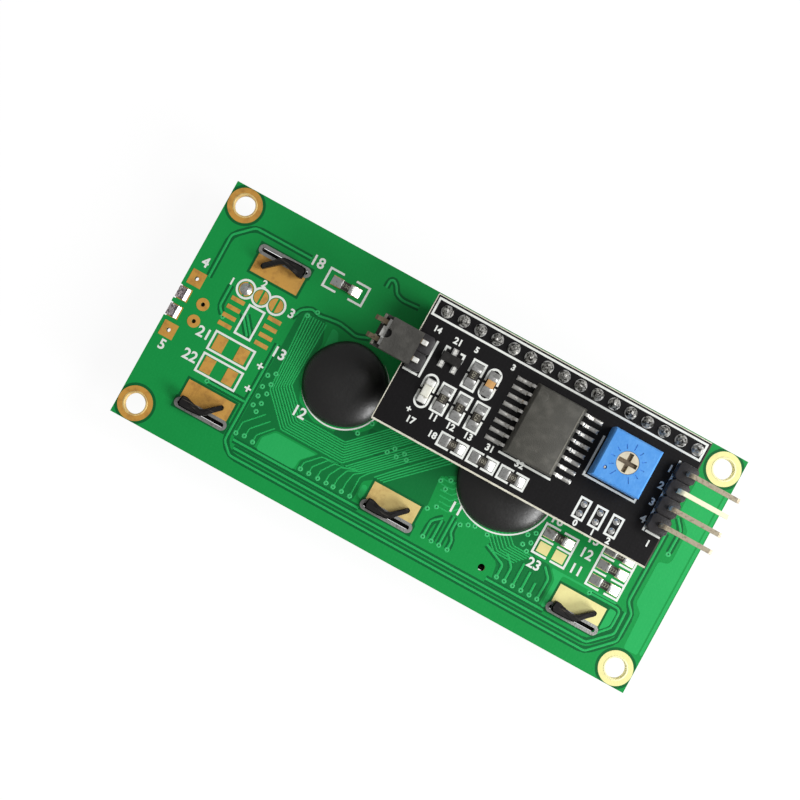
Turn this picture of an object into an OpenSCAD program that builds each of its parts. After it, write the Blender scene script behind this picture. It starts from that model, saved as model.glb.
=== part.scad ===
// Character display module with a serial interface board on its pin header.
// The module lies on its display face, back upwards. X runs along the long side,
// Y points to the edge with the pin header, Z points up out of the back.
// The origin is the middle of the main board, on the plane of the bezel's face.
// All sizes are in millimetres.

/* [Main board] */
// Length of the main board
board_l = 80; // [78:0.5:92]
// Width of the main board
board_w = 36; // [35:0.5:44]
// Thickness of the main board
board_t = 1.6; // [1:0.1:2.4]
// Distance of a mounting hole from both edges of its corner
mount_inset = 2.5; // [2.5:0.1:3.2]
// Diameter of a mounting hole
mount_d = 3; // [2:0.1:3.6]
// Diameter of the copper ring round a mounting hole
mount_land_d = 4.9; // [4:0.1:5]
// Thickness of the exposed copper
copper_t = 0.04; // [0.03:0.01:0.08]
// Thickness of the white print
print_t = 0.03; // [0.02:0.01:0.06]
// Width of a printed line
print_w = 0.3; // [0.2:0.02:0.36]
// Drilled diameter for header pins
pin_drill_d = 1; // [0.96:0.02:1.2]
// Drilled diameter of plated through holes without a part
via_drill_d = 0.6; // [0.4:0.1:0.8]
// Diameter of the unplated tooling hole
tooling_d = 1; // [0.6:0.1:1.4]

/* [Bezel] */
// Outer length of the bezel
bezel_l = 71.3; // [70:0.1:73]
// Outer width of the bezel
bezel_w = 24.4; // [23.6:0.1:25]
// Height of the bezel from its face to the main board
bezel_h = 7; // [6:0.1:9]
// How far the display sits off the board's middle, away from the header
bezel_shift = 0.5; // [0:0.1:0.8]
// Thickness of the bezel's sheet steel
sheet_t = 0.5; // [0.3:0.05:0.6]
// Outer radius of the bezel's folds
fold_r = 0.8; // [0.7:0.1:1.2]
// Length of the viewing window
window_l = 64.5; // [58:0.5:66]
// Width of the viewing window
window_w = 14.5; // [12:0.5:15.5]
// Corner radius of the viewing window
window_r = 0.6; // [0.3:0.1:2]
// Distance between neighbouring tabs along a side
tab_pitch = 29; // [24:0.5:30]
// Width of a tab
tab_w = 6.4; // [4.8:0.1:6.6]
// Height of a tab above the main board's back
tab_rise = 1.6; // [1:0.1:2.4]
// Width of a tab's neck
tab_neck_w = 3.1; // [2.4:0.1:3.4]
// Angle by which a tab's arm is bent over its land
tab_turn = 44; // [15:1:48]
// How far the free end of a tab's neck leans over
tab_lean = 0.9; // [0.3:0.1:1.1]
// Clearance of a tab's arm above the main board
tab_arm_gap = 0.5; // [0.3:0.1:0.7]
// Clearance of a tab in its slot
slot_gap = 0.2; // [0.15:0.05:0.3]
// Width of the tinned rim round a slot
slot_rim_w = 0.3; // [0.15:0.05:0.4]
// Width of the copper land beside a slot
tab_land_w = 2.7; // [1.5:0.1:3.4]

/* [Display cell] */
// Thickness of each glass plate
glass_t = 1.1; // [0.5:0.1:1.3]
// Thickness of each polariser
polariser_t = 0.2; // [0.1:0.05:0.3]
// Clearance between the glass and the bezel's walls
glass_gap = 0.3; // [0.2:0.05:0.5]
// Width of the contact ledge along each long side of the glass
ledge_w = 2.8; // [2.4:0.1:3]
// How far a polariser stops short of the glass edge
polariser_inset = 0.4; // [0.2:0.1:0.8]
// Clearance on both sides of a rubber connector strip
strip_gap = 0.3; // [0.2:0.05:0.5]
// How far a rubber connector stops short of the glass end
strip_inset = 2.5; // [1:0.5:6]

/* [Backlight] */
// Wall of the backlight tray
tray_wall = 0.8; // [0.6:0.1:1.2]
// Floor of the backlight tray
tray_floor = 1; // [0.6:0.1:1.4]
// Thickness of the diffuser film
film_t = 0.15; // [0.1:0.05:0.3]
// Play of the film and the light guide in the tray
guide_gap = 0.1; // [0.05:0.05:0.2]
// Thickness of the lamp strip's board
lamp_board_t = 0.8; // [0.6:0.1:1.2]
// Number of lamps on the strip
lamp_n = 3; // [2:1:4]
// Length of one lamp
lamp_l = 2.8; // [2:0.1:3.2]
// How far a lamp stands out of its board
lamp_t = 0.7; // [0.4:0.1:1]
// Thickness of a lamp lead
lead_t = 0.15; // [0.1:0.05:0.2]
// Width of a lamp lead
lead_w = 1.7; // [1.2:0.1:2]
// Distance between the two lamp leads
lead_pitch = 2.7; // [2.4:0.1:3.4]
// Length of a lead's fold on the board's back
lead_fold = 1.1; // [0.8:0.1:1.4]

/* [Driver domes] */
// Diameter of the left resin dome
left_dome_d = 12; // [9:0.5:12.5]
// Diameter of the right resin dome
right_dome_d = 14; // [10:0.5:14.5]
// Height of the resin domes
dome_h = 2; // [1.2:0.1:2.8]

/* [Link header] */
// Distance between header pins
pin_pitch = 2.54; // [2.5:0.01:2.56]
// Side of a square pin
pin_d = 0.64; // [0.5:0.02:0.66]
// Number of pins between the boards
link_n = 16; // [12:1:16]
// Distance of the pin row from the board's long edge
link_inset = 2.5; // [2:0.1:3]
// Distance of the last pin from the board's short edge
link_end = 8; // [7.5:0.1:9]
// Height of a header's plastic strip
strip_h = 2.54; // [2:0.02:2.8]
// Width of a header's plastic strip
strip_w = 2.5; // [2:0.05:2.5]
// Corner chamfer of one cell of a plastic strip
cell_chamfer = 0.45; // [0.2:0.05:0.6]
// How far a pin stands out of a board that it is soldered to
pin_stub = 1.4; // [1.2:0.1:2]
// Diameter of a solder joint on its land
joint_d = 1.7; // [1.5:0.05:1.9]
// Height of a solder joint
joint_h = 0.9; // [0.5:0.1:1.1]

/* [Interface board] */
// Length of the interface board
pack_l = 41.7; // [41.4:0.1:46]
// Width of the interface board
pack_w = 19; // [18.8:0.1:24]
// Thickness of the interface board
pack_t = 1.6; // [1:0.1:2]
// Space between the two boards
pack_gap = 5.5; // [4.8:0.1:9]
// Distance of the pin row from the interface board's long edge
pack_row_inset = 1.75; // [1.4:0.05:2]
// How far the interface board's middle lies off the middle of the pin row
pack_shift = 0.4; // [0:0.1:0.5]
// Bevel left on the interface board's edges where it was scored
score_w = 0.2; // [0.1:0.05:0.3]

/* [Bent headers] */
// Number of pins of the cable header
cable_n = 4; // [3:1:4]
// Number of pins of the lamp header
lamp_header_n = 2; // [2:1:2]
// Reach of a bent pin from its leg
arm_l = 7.3; // [6.8:0.1:9]
// Inner radius of a pin's bend
pin_bend_r = 0.2; // [0.1:0.05:0.25]

/* [Jumper cap] */
// Length of the jumper cap
cap_l = 5.8; // [5.4:0.1:6.4]
// Height of the jumper cap
cap_h = 2.5; // [2.2:0.1:2.8]
// Side wall of the jumper cap
cap_wall = 0.4; // [0.3:0.05:0.45]
// Space between the cap and the plastic strip below it
cap_lift = 0.15; // [0.1:0.05:0.4]
// Length of the open step at the cap's free end
cap_step_l = 1.3; // [0.8:0.1:1.8]
// Diameter of the notch in the cap's top
cap_notch_d = 1.4; // [1:0.1:1.8]
// Thickness of the jumper's contact sheet
contact_t = 0.2; // [0.12:0.02:0.24]
// Clearance of a pin in the jumper's contact
socket_gap = 0.06; // [0.04:0.01:0.1]
// Clearance between the contact and the jumper cap's side walls
contact_gap = 0.05; // [0.03:0.01:0.1]

/* [Interface chip] */
// Length of the chip's body
chip_l = 10.3; // [9.9:0.1:10.6]
// Width of the chip's body
chip_w = 7.5; // [7:0.1:7.8]
// Height of the chip's body
chip_h = 2.3; // [1.8:0.1:2.6]
// Space below the chip's body
chip_lift = 0.15; // [0.1:0.05:0.3]
// Number of leads on each side of the chip
chip_lead_n = 8; // [6:1:8]
// Distance between the chip's leads
chip_pitch = 1.27; // [1.2:0.01:1.28]
// How far the chip's leads reach out from its body
chip_reach = 1.45; // [1.2:0.05:1.75]
// Width of a chip lead
chip_lead_w = 0.42; // [0.3:0.02:0.5]
// Thickness of a chip lead
chip_lead_t = 0.25; // [0.2:0.01:0.3]
// Side draft of a moulded body
mould_draft = 0.3; // [0.1:0.05:0.4]

/* [Trimmer] */
// Width and depth of the trimmer
trimmer_w = 7; // [6.4:0.1:7.4]
// Height of the trimmer above its board
trimmer_h = 4.9; // [4:0.1:6]
// Height of the trimmer's feet
trimmer_foot_h = 0.4; // [0.2:0.1:0.6]
// Diameter of the trimmer's rotor
rotor_d = 3; // [2.4:0.1:3.4]
// Height of the rotor's head
rotor_h = 1; // [0.8:0.1:1.4]
// Diameter of the rotor's stem
stem_d = 1.6; // [1:0.1:2]
// Length of the rotor's stem
stem_l = 1.4; // [0.8:0.1:1.6]
// Running clearance of the rotor
rotor_gap = 0.05; // [0.03:0.01:0.1]
// Width of the rotor's cross slot
cross_w = 0.6; // [0.4:0.05:0.8]
// Depth of the rotor's cross slot
cross_depth = 0.5; // [0.3:0.1:0.7]
// Number of marks round the rotor
mark_n = 11; // [7:2:15]

/* [Chip parts] */
// Length of a chip resistor
part_l = 2; // [1.6:0.1:2.1]
// Width of a chip resistor
part_w = 1.25; // [0.8:0.05:1.4]
// Height of a chip resistor
part_h = 0.5; // [0.35:0.05:0.8]
// Length of a chip part's metal end
end_l = 0.4; // [0.25:0.05:0.5]
// Reach of a chip part's lands from its middle on the main board
board_land_reach = 2.2; // [1.8:0.1:2.2]
// Reach of a chip part's lands from its middle on the interface board
pack_land_reach = 1.75; // [1.5:0.05:1.8]

/* [Empty places] */
// Length of a land in the empty capacitor places
tank_land_l = 1.6; // [1.2:0.1:1.8]
// Width of a land in the empty capacitor places
tank_land_w = 2.2; // [1.6:0.1:2.3]
// Length of a land in the small empty place beside a resistor
spare_land_l = 1.7; // [1.3:0.1:1.8]
// Width of a land in the small empty place beside a resistor
spare_land_w = 1.5; // [1:0.1:1.6]
// Length of a land in the empty eight-lead place
small_land_l = 2; // [1.4:0.1:2.1]
// Length of a square lamp land
lamp_land_l = 2.1; // [1.6:0.1:2.1]
// Width of a square lamp land
lamp_land_w = 2.2; // [1.6:0.1:2.4]
// Diameter of a round feed land
feed_land_d = 1.8; // [1.2:0.1:2]

/* [Printed outlines] */
// Length of the outline round a capacitor place
tank_print_l = 6.3; // [6:0.1:6.6]
// Width of the outline round a capacitor place
tank_print_w = 3; // [3:0.1:3.3]
// Length of the outline round a resistor of the main board
part_print_l = 5.2; // [5.1:0.1:5.4]
// Width of the outline of one place in a shared outline
part_print_w = 2.33; // [2.2:0.01:2.4]
// Length of the outline of the empty eight-lead place
small_print_l = 4.6; // [4.2:0.1:5]
// Width of the outline of the empty eight-lead place
small_print_w = 2.6; // [2.2:0.1:3]
// Distance of a ring print from what it goes round
ring_print_gap = 0.12; // [0.08:0.01:0.2]
// Length of the outline round a chip part of the interface board
pack_print_l = 4.25; // [4.2:0.05:4.3]
// Width of the outline round a chip part of the interface board
pack_print_w = 2.1; // [2.1:0.05:2.2]
// Length of the outline round an address bridge
address_print_l = 3.1; // [2.9:0.1:3.3]
// Width of the outline round an address bridge
address_print_w = 1.75; // [1.6:0.05:1.9]

/* [Hidden] */

$fn = 48;

// Levels, from the bezel's face upwards
front_z = bezel_h;
back_z = front_z + board_t;
pack_under_z = back_z + pack_gap;
pack_z = pack_under_z + pack_t;

// Main board
mount_x = board_l / 2 - mount_inset;
mount_y = board_w / 2 - mount_inset;
edge_x = -board_l / 2;
through = 1;

// Bezel and display cell
bezel_y = -bezel_shift;
slot_l = tab_w + 1;
slot_w = sheet_t + 2 * slot_gap;
tab_y = bezel_w / 2 - sheet_t / 2;
tab_arm_l = tab_w - tab_neck_w;
tab_left = -tab_w / 2;
tab_bend = tab_left + tab_neck_w;
tab_arm_end = [tab_bend, 0] + tab_arm_l * [cos(tab_turn), sin(tab_turn)];
tab_stations = [
    [[tab_left, 0], tab_lean, 0, 0, 0.85 * tab_rise],
    [[(tab_left + tab_bend) / 2, 0], 0.7 * tab_lean, 0, 0, tab_rise],
    [[tab_bend, 0], 0.1 * tab_lean, 0, 0, tab_rise],
    [[tab_bend, 0] + 0.25 * tab_arm_l * [cos(tab_turn / 2), sin(tab_turn / 2)], 0.05, tab_turn * 0.75,
        tab_arm_gap, tab_rise],
    [tab_arm_end, 0, tab_turn, tab_arm_gap, 0.9 * tab_rise]];
tab_land_l = slot_l - 0.2;
glass_l = bezel_l - 2 * (sheet_t + glass_gap);
glass_w = bezel_w - 2 * (sheet_t + glass_gap);
rear_glass_w = glass_w - 2 * ledge_w;
glass_z = sheet_t + polariser_t;
cell_z = glass_z + 2 * glass_t;
light_z = cell_z + polariser_t;
rubber_w = ledge_w - 2 * strip_gap;
rubber_y = (glass_w - ledge_w) / 2;

// Backlight
recess_l = glass_l - 2 * tray_wall;
recess_w = rear_glass_w - 2 * tray_wall;
recess_h = front_z - tray_floor - light_z;
lamp_x = -recess_l / 2 + lead_t + guide_gap;
guide_x = lamp_x + lamp_board_t + lamp_t + guide_gap;
lead_edge_gap = 0.1;
lead_x = edge_x + lead_edge_gap;
notch_l = lead_t + 2 * lead_edge_gap;
notch_w = lead_w + 0.4;
lead_land_l = 1.6;

// Link header and interface board
link_l = link_n * pin_pitch;
link_x = board_l / 2 - link_end - (link_n - 1) * pin_pitch / 2;
link_y = board_w / 2 - link_inset;
pack_x = link_x - pack_shift;
pack_y = link_y + pack_row_inset - pack_w / 2;
tip_l = 0.35;
tip_inset = 0.14;

// Bent headers, with their places measured from the interface board's edges
cable_x = pack_x + pack_l / 2 - strip_w / 2;
cable_y = pack_y + 0.25;
lamp_header_x = pack_x - pack_l / 2 + 0.3 + strip_w / 2;
lamp_header_y = pack_y + 1.15;
arm_z = strip_h + cap_lift + cap_h / 2;
bend_mid_r = pin_bend_r + pin_d / 2;

// Jumper cap
cap_end_x = lamp_header_x - bend_mid_r - 0.02;
socket_d = pin_d + 2 * socket_gap;
tube_d = socket_d + 2 * contact_t;
contact_w = (lamp_header_n - 1) * pin_pitch + tube_d;
cavity_w = contact_w + 2 * contact_gap;
cavity_h = cap_h - 2 * cap_wall;
cap_w = cavity_w + 2 * cap_wall;
contact_l = cap_l - 1.2;

// Interface chip
chip_at = [0.2, 0.15];
chip_span = chip_w + 2 * chip_reach;
chip_foot_l = chip_reach - chip_lead_t - 0.3;
chip_land_l = 2.2;
chip_land_w = 0.6;
band_h = chip_lead_t + 0.05;

// Trimmer
trimmer_at = [11.5, 1.4];
trimmer_drill_d = 0.9;
trimmer_pin_d = 0.6;
trimmer_pin_at = [[-2.54, -1.9], [0, 1.9], [2.54, -1.9]];
rotor_z = trimmer_h - rotor_h - 0.05;

// Solder and print
fillet_h = 0.38;
print_break = 0.35;
hair = 0.01;

// Domes, and the chip parts of the main board, from its middle, all lying along X
left_dome_at = [-13.6, 0.6];
right_dome_at = [12.3, -0.4];
pair_x = right_dome_at[0] + 9.95;
trio_x = pair_x + 8.5;
board_resistor_at = [[edge_x + 20.05, link_y - 3.1], [pair_x, -3.75],
    [trio_x, -1.8], [trio_x, -4], [trio_x, -6.3]];
// Chip resistors of the interface board, from its middle: [x, y, turn]
pack_resistor_at = [
    [-11.5, 2, 90], [-13.6, -2.75, 90], [-11.05, -2.75, 90], [-8.45, -2.75, 90],
    [-9.55, -7.5, 0], [-5, -7.5, 0], [-0.45, -7.5, 0]];
capacitor_at = [-9, 2, 90];
power_lamp_at = [-16.05, -2.85, 90];
transistor_at = [-15.15, 2.4];
address_x = [9.65, 12.1, 14.55];
address_y = -6.6;

// Empty places and holes of the main board, from its middle
bridge_at = [edge_x + 10.55, 5.5];
bridge_pitch = 2.35;
bridge_d = 2;
bridge_gap = 0.3;
small_chip_at = [edge_x + 10.85, 1.7];
small_chip_span = 5.7;
tank_at = [[edge_x + 10.45, -2.8], [edge_x + 10.45, -6.2]];
tank_land_x = [-1.75, 1.65];
spare_part_at = [pair_x, -5.95];
spare_land_x = [-1.2, 1.2];
lamp_land_x = edge_x + 1.6;
lamp_land_y = [3.5, -4.5];
feed_via_at = [[4.05, 0.8], [4.05, -1.8]];
tooling_at = [14.8, -12.3];

// ---------------------------------------------------------------- placing

// Puts its children on the main board's back, from the board's middle
module on_board(at) translate([at[0], at[1], back_z]) children();

// Puts its children on the interface board's top, from that board's middle
module on_pack(at, turn = 0) translate([pack_x + at[0], pack_y + at[1], pack_z]) rotate(turn) children();

// Repeats its children at the four mounting holes
module at_mounts() for (x = [-mount_x, mount_x], y = [-mount_y, mount_y]) translate([x, y, 0]) children();

// Repeats its children at the six tabs, each turned so that -Y points outwards
module at_tabs() translate([0, bezel_y, 0]) for (turn = [0, 180], i = [-1, 0, 1])
    rotate(turn) translate([i * tab_pitch, -tab_y, 0]) children();

// Repeats its children along a row of n places
module row(n, pitch) for (i = [0:n - 1]) translate([(i - (n - 1) / 2) * pitch, 0, 0]) children();

// ---------------------------------------------------------------- shapes

// A block centred in X and Y, standing on Z = 0
module block(l, w, h) translate([-l / 2, -w / 2, 0]) cube([l, w, h]);

// A plate with round ends, or a slot cutter, along X
module stadium(l, w, h) {
    block(l - w, w, h);
    for (x = [-1, 1] * (l - w) / 2) translate([x, 0, 0]) cylinder(d = w, h = h);
}

// A flat ring
module ring(d_out, d_in, h) difference() {
    cylinder(d = d_out, h = h);
    translate([0, 0, -through]) cylinder(d = d_in, h = h + 2 * through);
}

// A printed outline, with a gap of the given width in its two long sides
module print_box(l, w, gap = 0) difference() {
    block(l, w, print_t);
    translate([0, 0, -through]) block(l - 2 * print_w, w - 2 * print_w, 2 * through);
    if (gap > 0) translate([0, 0, -through]) block(gap, w + through, 2 * through);
}

// A printed line along X
module print_line(l) block(l, print_w, print_t);

// A copper land with a drilled hole
module drilled_land(d, drill) ring(d, drill, copper_t);

// Outline of a straight pin with tapered tips, height along the second axis
function pin_outline(low, high) = let (r = pin_d / 2) [
    [-r, low + tip_l], [-r + tip_inset, low], [r - tip_inset, low], [r, low + tip_l],
    [r, high - tip_l], [r - tip_inset, high], [-r + tip_inset, high], [-r, high - tip_l]];

// A row of straight square pins from one height to another
module pin_row(n, low, high) intersection() {
    row(n, pin_pitch) rotate([90, 0, 0]) linear_extrude(pin_d + hair, center = true)
        polygon(pin_outline(low, high));
    rotate([90, 0, 90]) linear_extrude(n * pin_pitch, center = true) polygon(pin_outline(low, high));
}

// The plastic strip of a pin header, along X, with a square hole for each pin
module header_strip(n) difference() {
    row(n, pin_pitch) linear_extrude(strip_h)
        polygon(let (x = pin_pitch / 2, y = strip_w / 2, c = cell_chamfer) [
            [-x, -y + c], [-x + c, -y], [x - c, -y], [x, -y + c],
            [x, y - c], [x - c, y], [-x + c, y], [-x, y - c]]);
    row(n, pin_pitch) translate([0, 0, -through]) block(pin_d, pin_d, strip_h + 2 * through);
}

// One pin bent from its leg to an arm along +X; Z = 0 is the board's top
module bent_pin() {
    leg_low = -pack_t - pin_stub;
    leg_high = arm_z - bend_mid_r;
    translate([0, 0, leg_low]) block(pin_d, pin_d, leg_high - leg_low);
    translate([bend_mid_r, 0, leg_high]) rotate([90, 0, 0]) rotate(90)
        rotate_extrude(angle = 90) translate([pin_bend_r, -pin_d / 2]) square(pin_d);
    rotate([90, 0, 0]) linear_extrude(pin_d, center = true) polygon(let (r = pin_d / 2) [
        [bend_mid_r, arm_z - r], [arm_l - tip_l, arm_z - r], [arm_l, arm_z - r + tip_inset],
        [arm_l, arm_z + r - tip_inset], [arm_l - tip_l, arm_z + r], [bend_mid_r, arm_z + r]]);
}

// Solder round one pin: a cone on a land, and the fill of the drilled hole below it
module pin_joint(depth, drill = pin_drill_d, d = joint_d) difference() {
    union() {
        translate([0, 0, copper_t]) cylinder(d1 = d, d2 = 0.62 * d, h = joint_h);
        translate([0, 0, -depth]) cylinder(d = drill, h = depth + copper_t);
    }
    translate([0, 0, -depth - through]) block(pin_d, pin_d, depth + joint_h + 3 * through);
}

// A block whose four sides slope away from a straight band at its middle height
module moulded_block(l, w, h, draft, band) intersection() {
    rotate([90, 0, 90]) linear_extrude(l, center = true) polygon(moulded_outline(w, h, draft, band));
    rotate([90, 0, 0]) linear_extrude(w, center = true) polygon(moulded_outline(l, h, draft, band));
}

function moulded_outline(w, h, draft, band) = let (x = w / 2, low = (h - band) / 2, high = (h + band) / 2) [
    [-x + draft, 0], [x - draft, 0], [x, low], [x, high],
    [x - draft, h], [-x + draft, h], [-x, high], [-x, low]];

// A chip resistor or capacitor along X, with metal ends that wrap its body
module chip_part(l = part_l, w = part_w, h = part_h) translate([0, 0, copper_t]) {
    skin = 0.04;
    translate([0, 0, skin]) block(l - 2 * skin, w - 2 * skin, h - 2 * skin);
    for (x = [-1, 1] * (l - end_l) / 2) translate([x, 0, 0]) block(end_l, w, h);
}

// The pair of lands below a chip part
module part_land_pair(reach, w = part_w + 0.15) {
    land_l = reach - part_l / 2 + end_l;
    for (x = [-1, 1] * (reach - land_l / 2)) translate([x, 0, 0]) block(land_l, w, copper_t);
}

// The two solder wedges at the ends of a chip part
module part_fillets(reach, w = part_w) for (turn = [0, 180]) rotate(turn)
    translate([part_l / 2, w / 2, copper_t]) rotate([90, 0, 0])
        linear_extrude(w) polygon([[0, 0], [reach - part_l / 2, 0], [0.12, fillet_h], [0, fillet_h]]);

// ---------------------------------------------------------------- main board

module main_board() color("green") difference() {
    translate([0, 0, front_z]) block(board_l, board_w, board_t);
    translate([0, 0, front_z - through]) {
        at_mounts() cylinder(d = mount_d + 2 * copper_t, h = board_t + 2 * through);
        at_tabs() stadium(slot_l, slot_w, board_t + 2 * through);
        translate([link_x, link_y, 0]) row(link_n, pin_pitch)
            cylinder(d = pin_drill_d, h = board_t + 2 * through);
        at_feeds() cylinder(d = via_drill_d, h = board_t + 2 * through);
        translate(tooling_at) cylinder(d = tooling_d, h = board_t + 2 * through);
        at_lamp_leads() translate([notch_l / 2 - through, 0, 0])
            block(notch_l + 2 * through, notch_w, board_t + 2 * through);
    }
}

// Repeats its children at the plated holes near the left edge
module at_feeds() {
    for (y = lamp_land_y) translate([lamp_land_x, y, 0]) children();
    for (at = feed_via_at) translate([edge_x + at[0], at[1], 0]) children();
}

// Repeats its children at the two lamp leads, on the board's left edge
module at_lamp_leads() for (side = [-1, 1])
    translate([edge_x, bezel_y + side * lead_pitch / 2, 0]) children();

module mount_lands() color("darkkhaki") at_mounts() difference() {
    union() {
        translate([0, 0, front_z - copper_t]) cylinder(d = mount_land_d, h = copper_t);
        translate([0, 0, front_z]) cylinder(d = mount_d + 2 * copper_t, h = board_t);
        translate([0, 0, back_z]) cylinder(d = mount_land_d, h = copper_t);
    }
    translate([0, 0, front_z - through]) cylinder(d = mount_d, h = board_t + 2 * through);
}

module tab_lands() color("peru") at_tabs()
    translate([0, slot_w / 2 + slot_rim_w + tab_land_w / 2, back_z]) block(tab_land_l, tab_land_w, copper_t);

module slot_rims() color("silver") at_tabs() translate([0, 0, back_z]) difference() {
    stadium(slot_l + 2 * slot_rim_w, slot_w + 2 * slot_rim_w, copper_t);
    translate([0, 0, -through]) stadium(slot_l, slot_w, 2 * through);
}

module part_lands() color("peru") {
    // Pair of half rounds at each solder bridge
    on_board(bridge_at) row(3, bridge_pitch) difference() {
        cylinder(d = bridge_d, h = copper_t);
        translate([0, 0, -through]) block(bridge_gap, 2 * bridge_d, 2 * through);
    }
    // Empty eight-lead place
    on_board(small_chip_at) for (x = [-1, 1] * small_chip_span / 2) translate([x, 0, 0]) rotate(90)
        row(4, chip_pitch) block(chip_land_w, small_land_l, copper_t);
    // Empty capacitor places
    for (at = tank_at) on_board(at) for (x = tank_land_x)
        translate([x, 0, 0]) block(tank_land_l, tank_land_w, copper_t);
    on_board(spare_part_at) for (x = spare_land_x)
        translate([x, 0, 0]) block(spare_land_l, spare_land_w, copper_t);
    // Square lamp lands and round feed lands, each with a plated hole
    for (y = lamp_land_y) on_board([lamp_land_x, y]) difference() {
        block(lamp_land_l, lamp_land_w, copper_t);
        translate([0, 0, -through]) cylinder(d = via_drill_d, h = 2 * through);
    }
    for (at = feed_via_at) on_board([edge_x + at[0], at[1]]) drilled_land(feed_land_d, via_drill_d);
    // Lands of the fitted resistors and of the lamp leads
    for (at = board_resistor_at) on_board(at) part_land_pair(board_land_reach);
    at_lamp_leads() translate([notch_l + lead_land_l / 2, 0, back_z])
        block(lead_land_l, lead_w + 0.2, copper_t);
}

module board_legend() color("white") {
    on_board(board_resistor_at[0]) print_box(tank_print_l, tank_print_w, 0.3 * tank_print_l);
    // Two places in one outline, and three in another
    on_board([pair_x, (board_resistor_at[1][1] + spare_part_at[1]) / 2]) shared_print_box(2, 0.6);
    on_board([trio_x, board_resistor_at[3][1]]) shared_print_box(3, 0.8);
    // Rings round the solder bridges, and the outline of the empty chip place
    on_board(bridge_at) difference() {
        row(3, bridge_pitch) cylinder(d = bridge_d + 2 * (ring_print_gap + print_w), h = print_t);
        row(3, bridge_pitch) translate([0, 0, -through])
            cylinder(d = bridge_d + 2 * ring_print_gap, h = 2 * through);
    }
    on_board(small_chip_at) print_box(small_print_w, small_print_l);
    for (at = tank_at) on_board(at) print_box(tank_print_l, tank_print_w);
    dome_ring(left_dome_at, left_dome_d);
    dome_ring(right_dome_at, right_dome_d);
}

// A printed ring off a dome's middle, of which the resin leaves a crescent bare
module dome_ring(at, d) on_board(at) difference() {
    translate([1.5, -1.5, 0] * ring_print_gap) ring(d + ring_print_gap, d - print_w, print_t);
    translate([0, 0, -through]) cylinder(d = d, h = 2 * through);
}

// One outline round n places, parted by lines, with a gap in each line
module shared_print_box(n, gap) difference() {
    union() {
        print_box(part_print_l, n * part_print_w);
        rotate(90) row(n - 1, part_print_w) rotate(90) print_line(part_print_l);
    }
    translate([0, 0, -through]) block(gap, (n + 1) * part_print_w, 2 * through);
}

// ---------------------------------------------------------------- bezel

module bezel() color("#202022") difference() {
    union() {
        translate([0, bezel_y, 0]) {
            block(bezel_l - 2 * fold_r, bezel_w - 2 * fold_r, sheet_t);
            for (turn = [0, 180]) {
                rotate(turn) translate([0, -bezel_w / 2, 0]) folded_wall(bezel_l - 2 * fold_r);
                rotate(turn + 90) translate([0, -bezel_l / 2, 0]) folded_wall(bezel_w - 2 * fold_r);
            }
        }
        at_tabs() twisted_tab();
    }
    translate([0, bezel_y, -through]) window_cutter();
    // Notches through which the lamp leads run out along the board
    at_lamp_leads() translate([(board_l - bezel_l) / 2, 0, front_z - lead_t - 0.1])
        block(2, lead_w + 0.3, 1);
}

// One fold and the wall above it, outer face on Y = 0
module folded_wall(l) {
    translate([-l / 2, 0, fold_r]) cube([l, sheet_t, bezel_h - fold_r]);
    intersection() {
        translate([-l / 2, fold_r, fold_r]) rotate([0, 90, 0]) difference() {
            cylinder(r = fold_r, h = l);
            translate([0, 0, -through]) cylinder(r = fold_r - sheet_t, h = l + 2 * through);
        }
        translate([-l / 2, 0, 0]) cube([l, fold_r, fold_r]);
    }
}

// One tab: a neck through one end of its slot, and an arm bent over its land
module twisted_tab() {
    translate([(tab_left + tab_bend) / 2, 0, front_z]) block(tab_neck_w, sheet_t, board_t);
    last = len(tab_stations) - 1;
    translate([0, 0, back_z]) polyhedron(
        [for (station = tab_stations, corner = tab_corners(station)) corner],
        concat([[0, 1, 2, 3]],
            [for (i = [0:last - 1], k = [0:3]) let (next = (k + 1) % 4)
                [4 * i + next, 4 * i + k, 4 * i + 4 + k, 4 * i + 4 + next]],
            [[for (k = [3:-1:0]) 4 * last + k]]));
}

// Corners of the tab's cross section at a station: foot, lean, direction, lowest and highest level
function tab_corners(station) = let (
        side = [-sin(station[2]), cos(station[2])] * sheet_t / 2,
        foot = station[0],
        head = station[0] + [0, station[1]])
    [[foot[0] - side[0], foot[1] - side[1], station[3]], [foot[0] + side[0], foot[1] + side[1], station[3]],
        [head[0] + side[0], head[1] + side[1], station[4]], [head[0] - side[0], head[1] - side[1], station[4]]];

module window_cutter() {
    block(window_l - 2 * window_r, window_w, sheet_t + 2 * through);
    block(window_l, window_w - 2 * window_r, sheet_t + 2 * through);
    for (x = [-1, 1] * (window_l / 2 - window_r), y = [-1, 1] * (window_w / 2 - window_r))
        translate([x, y, 0]) cylinder(r = window_r, h = sheet_t + 2 * through);
}

// ---------------------------------------------------------------- display cell

module in_bezel(z) translate([0, bezel_y, z]) children();

module front_polariser() color("#6f7a52") in_bezel(sheet_t)
    block(glass_l - 2 * polariser_inset, glass_w - 2 * polariser_inset, polariser_t);

module front_glass() color("#b9c6a8") in_bezel(glass_z) block(glass_l, glass_w, glass_t);

module rear_glass() color("#b9c6a8") in_bezel(glass_z + glass_t) block(glass_l, rear_glass_w, glass_t);

module rear_polariser() color("#8d9a63") in_bezel(cell_z)
    block(glass_l - 2 * polariser_inset, rear_glass_w - 2 * polariser_inset, polariser_t);

// Striped rubber that joins one contact ledge to the main board
module rubber_connector() in_bezel(glass_z + glass_t)
    block(glass_l - 2 * strip_inset, rubber_w, front_z - glass_z - glass_t);

module upper_rubber_connector() color("#4a4a4a") translate([0, rubber_y, 0]) rubber_connector();

module lower_rubber_connector() color("#4a4a4a") translate([0, -rubber_y, 0]) rubber_connector();

// ---------------------------------------------------------------- backlight

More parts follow.
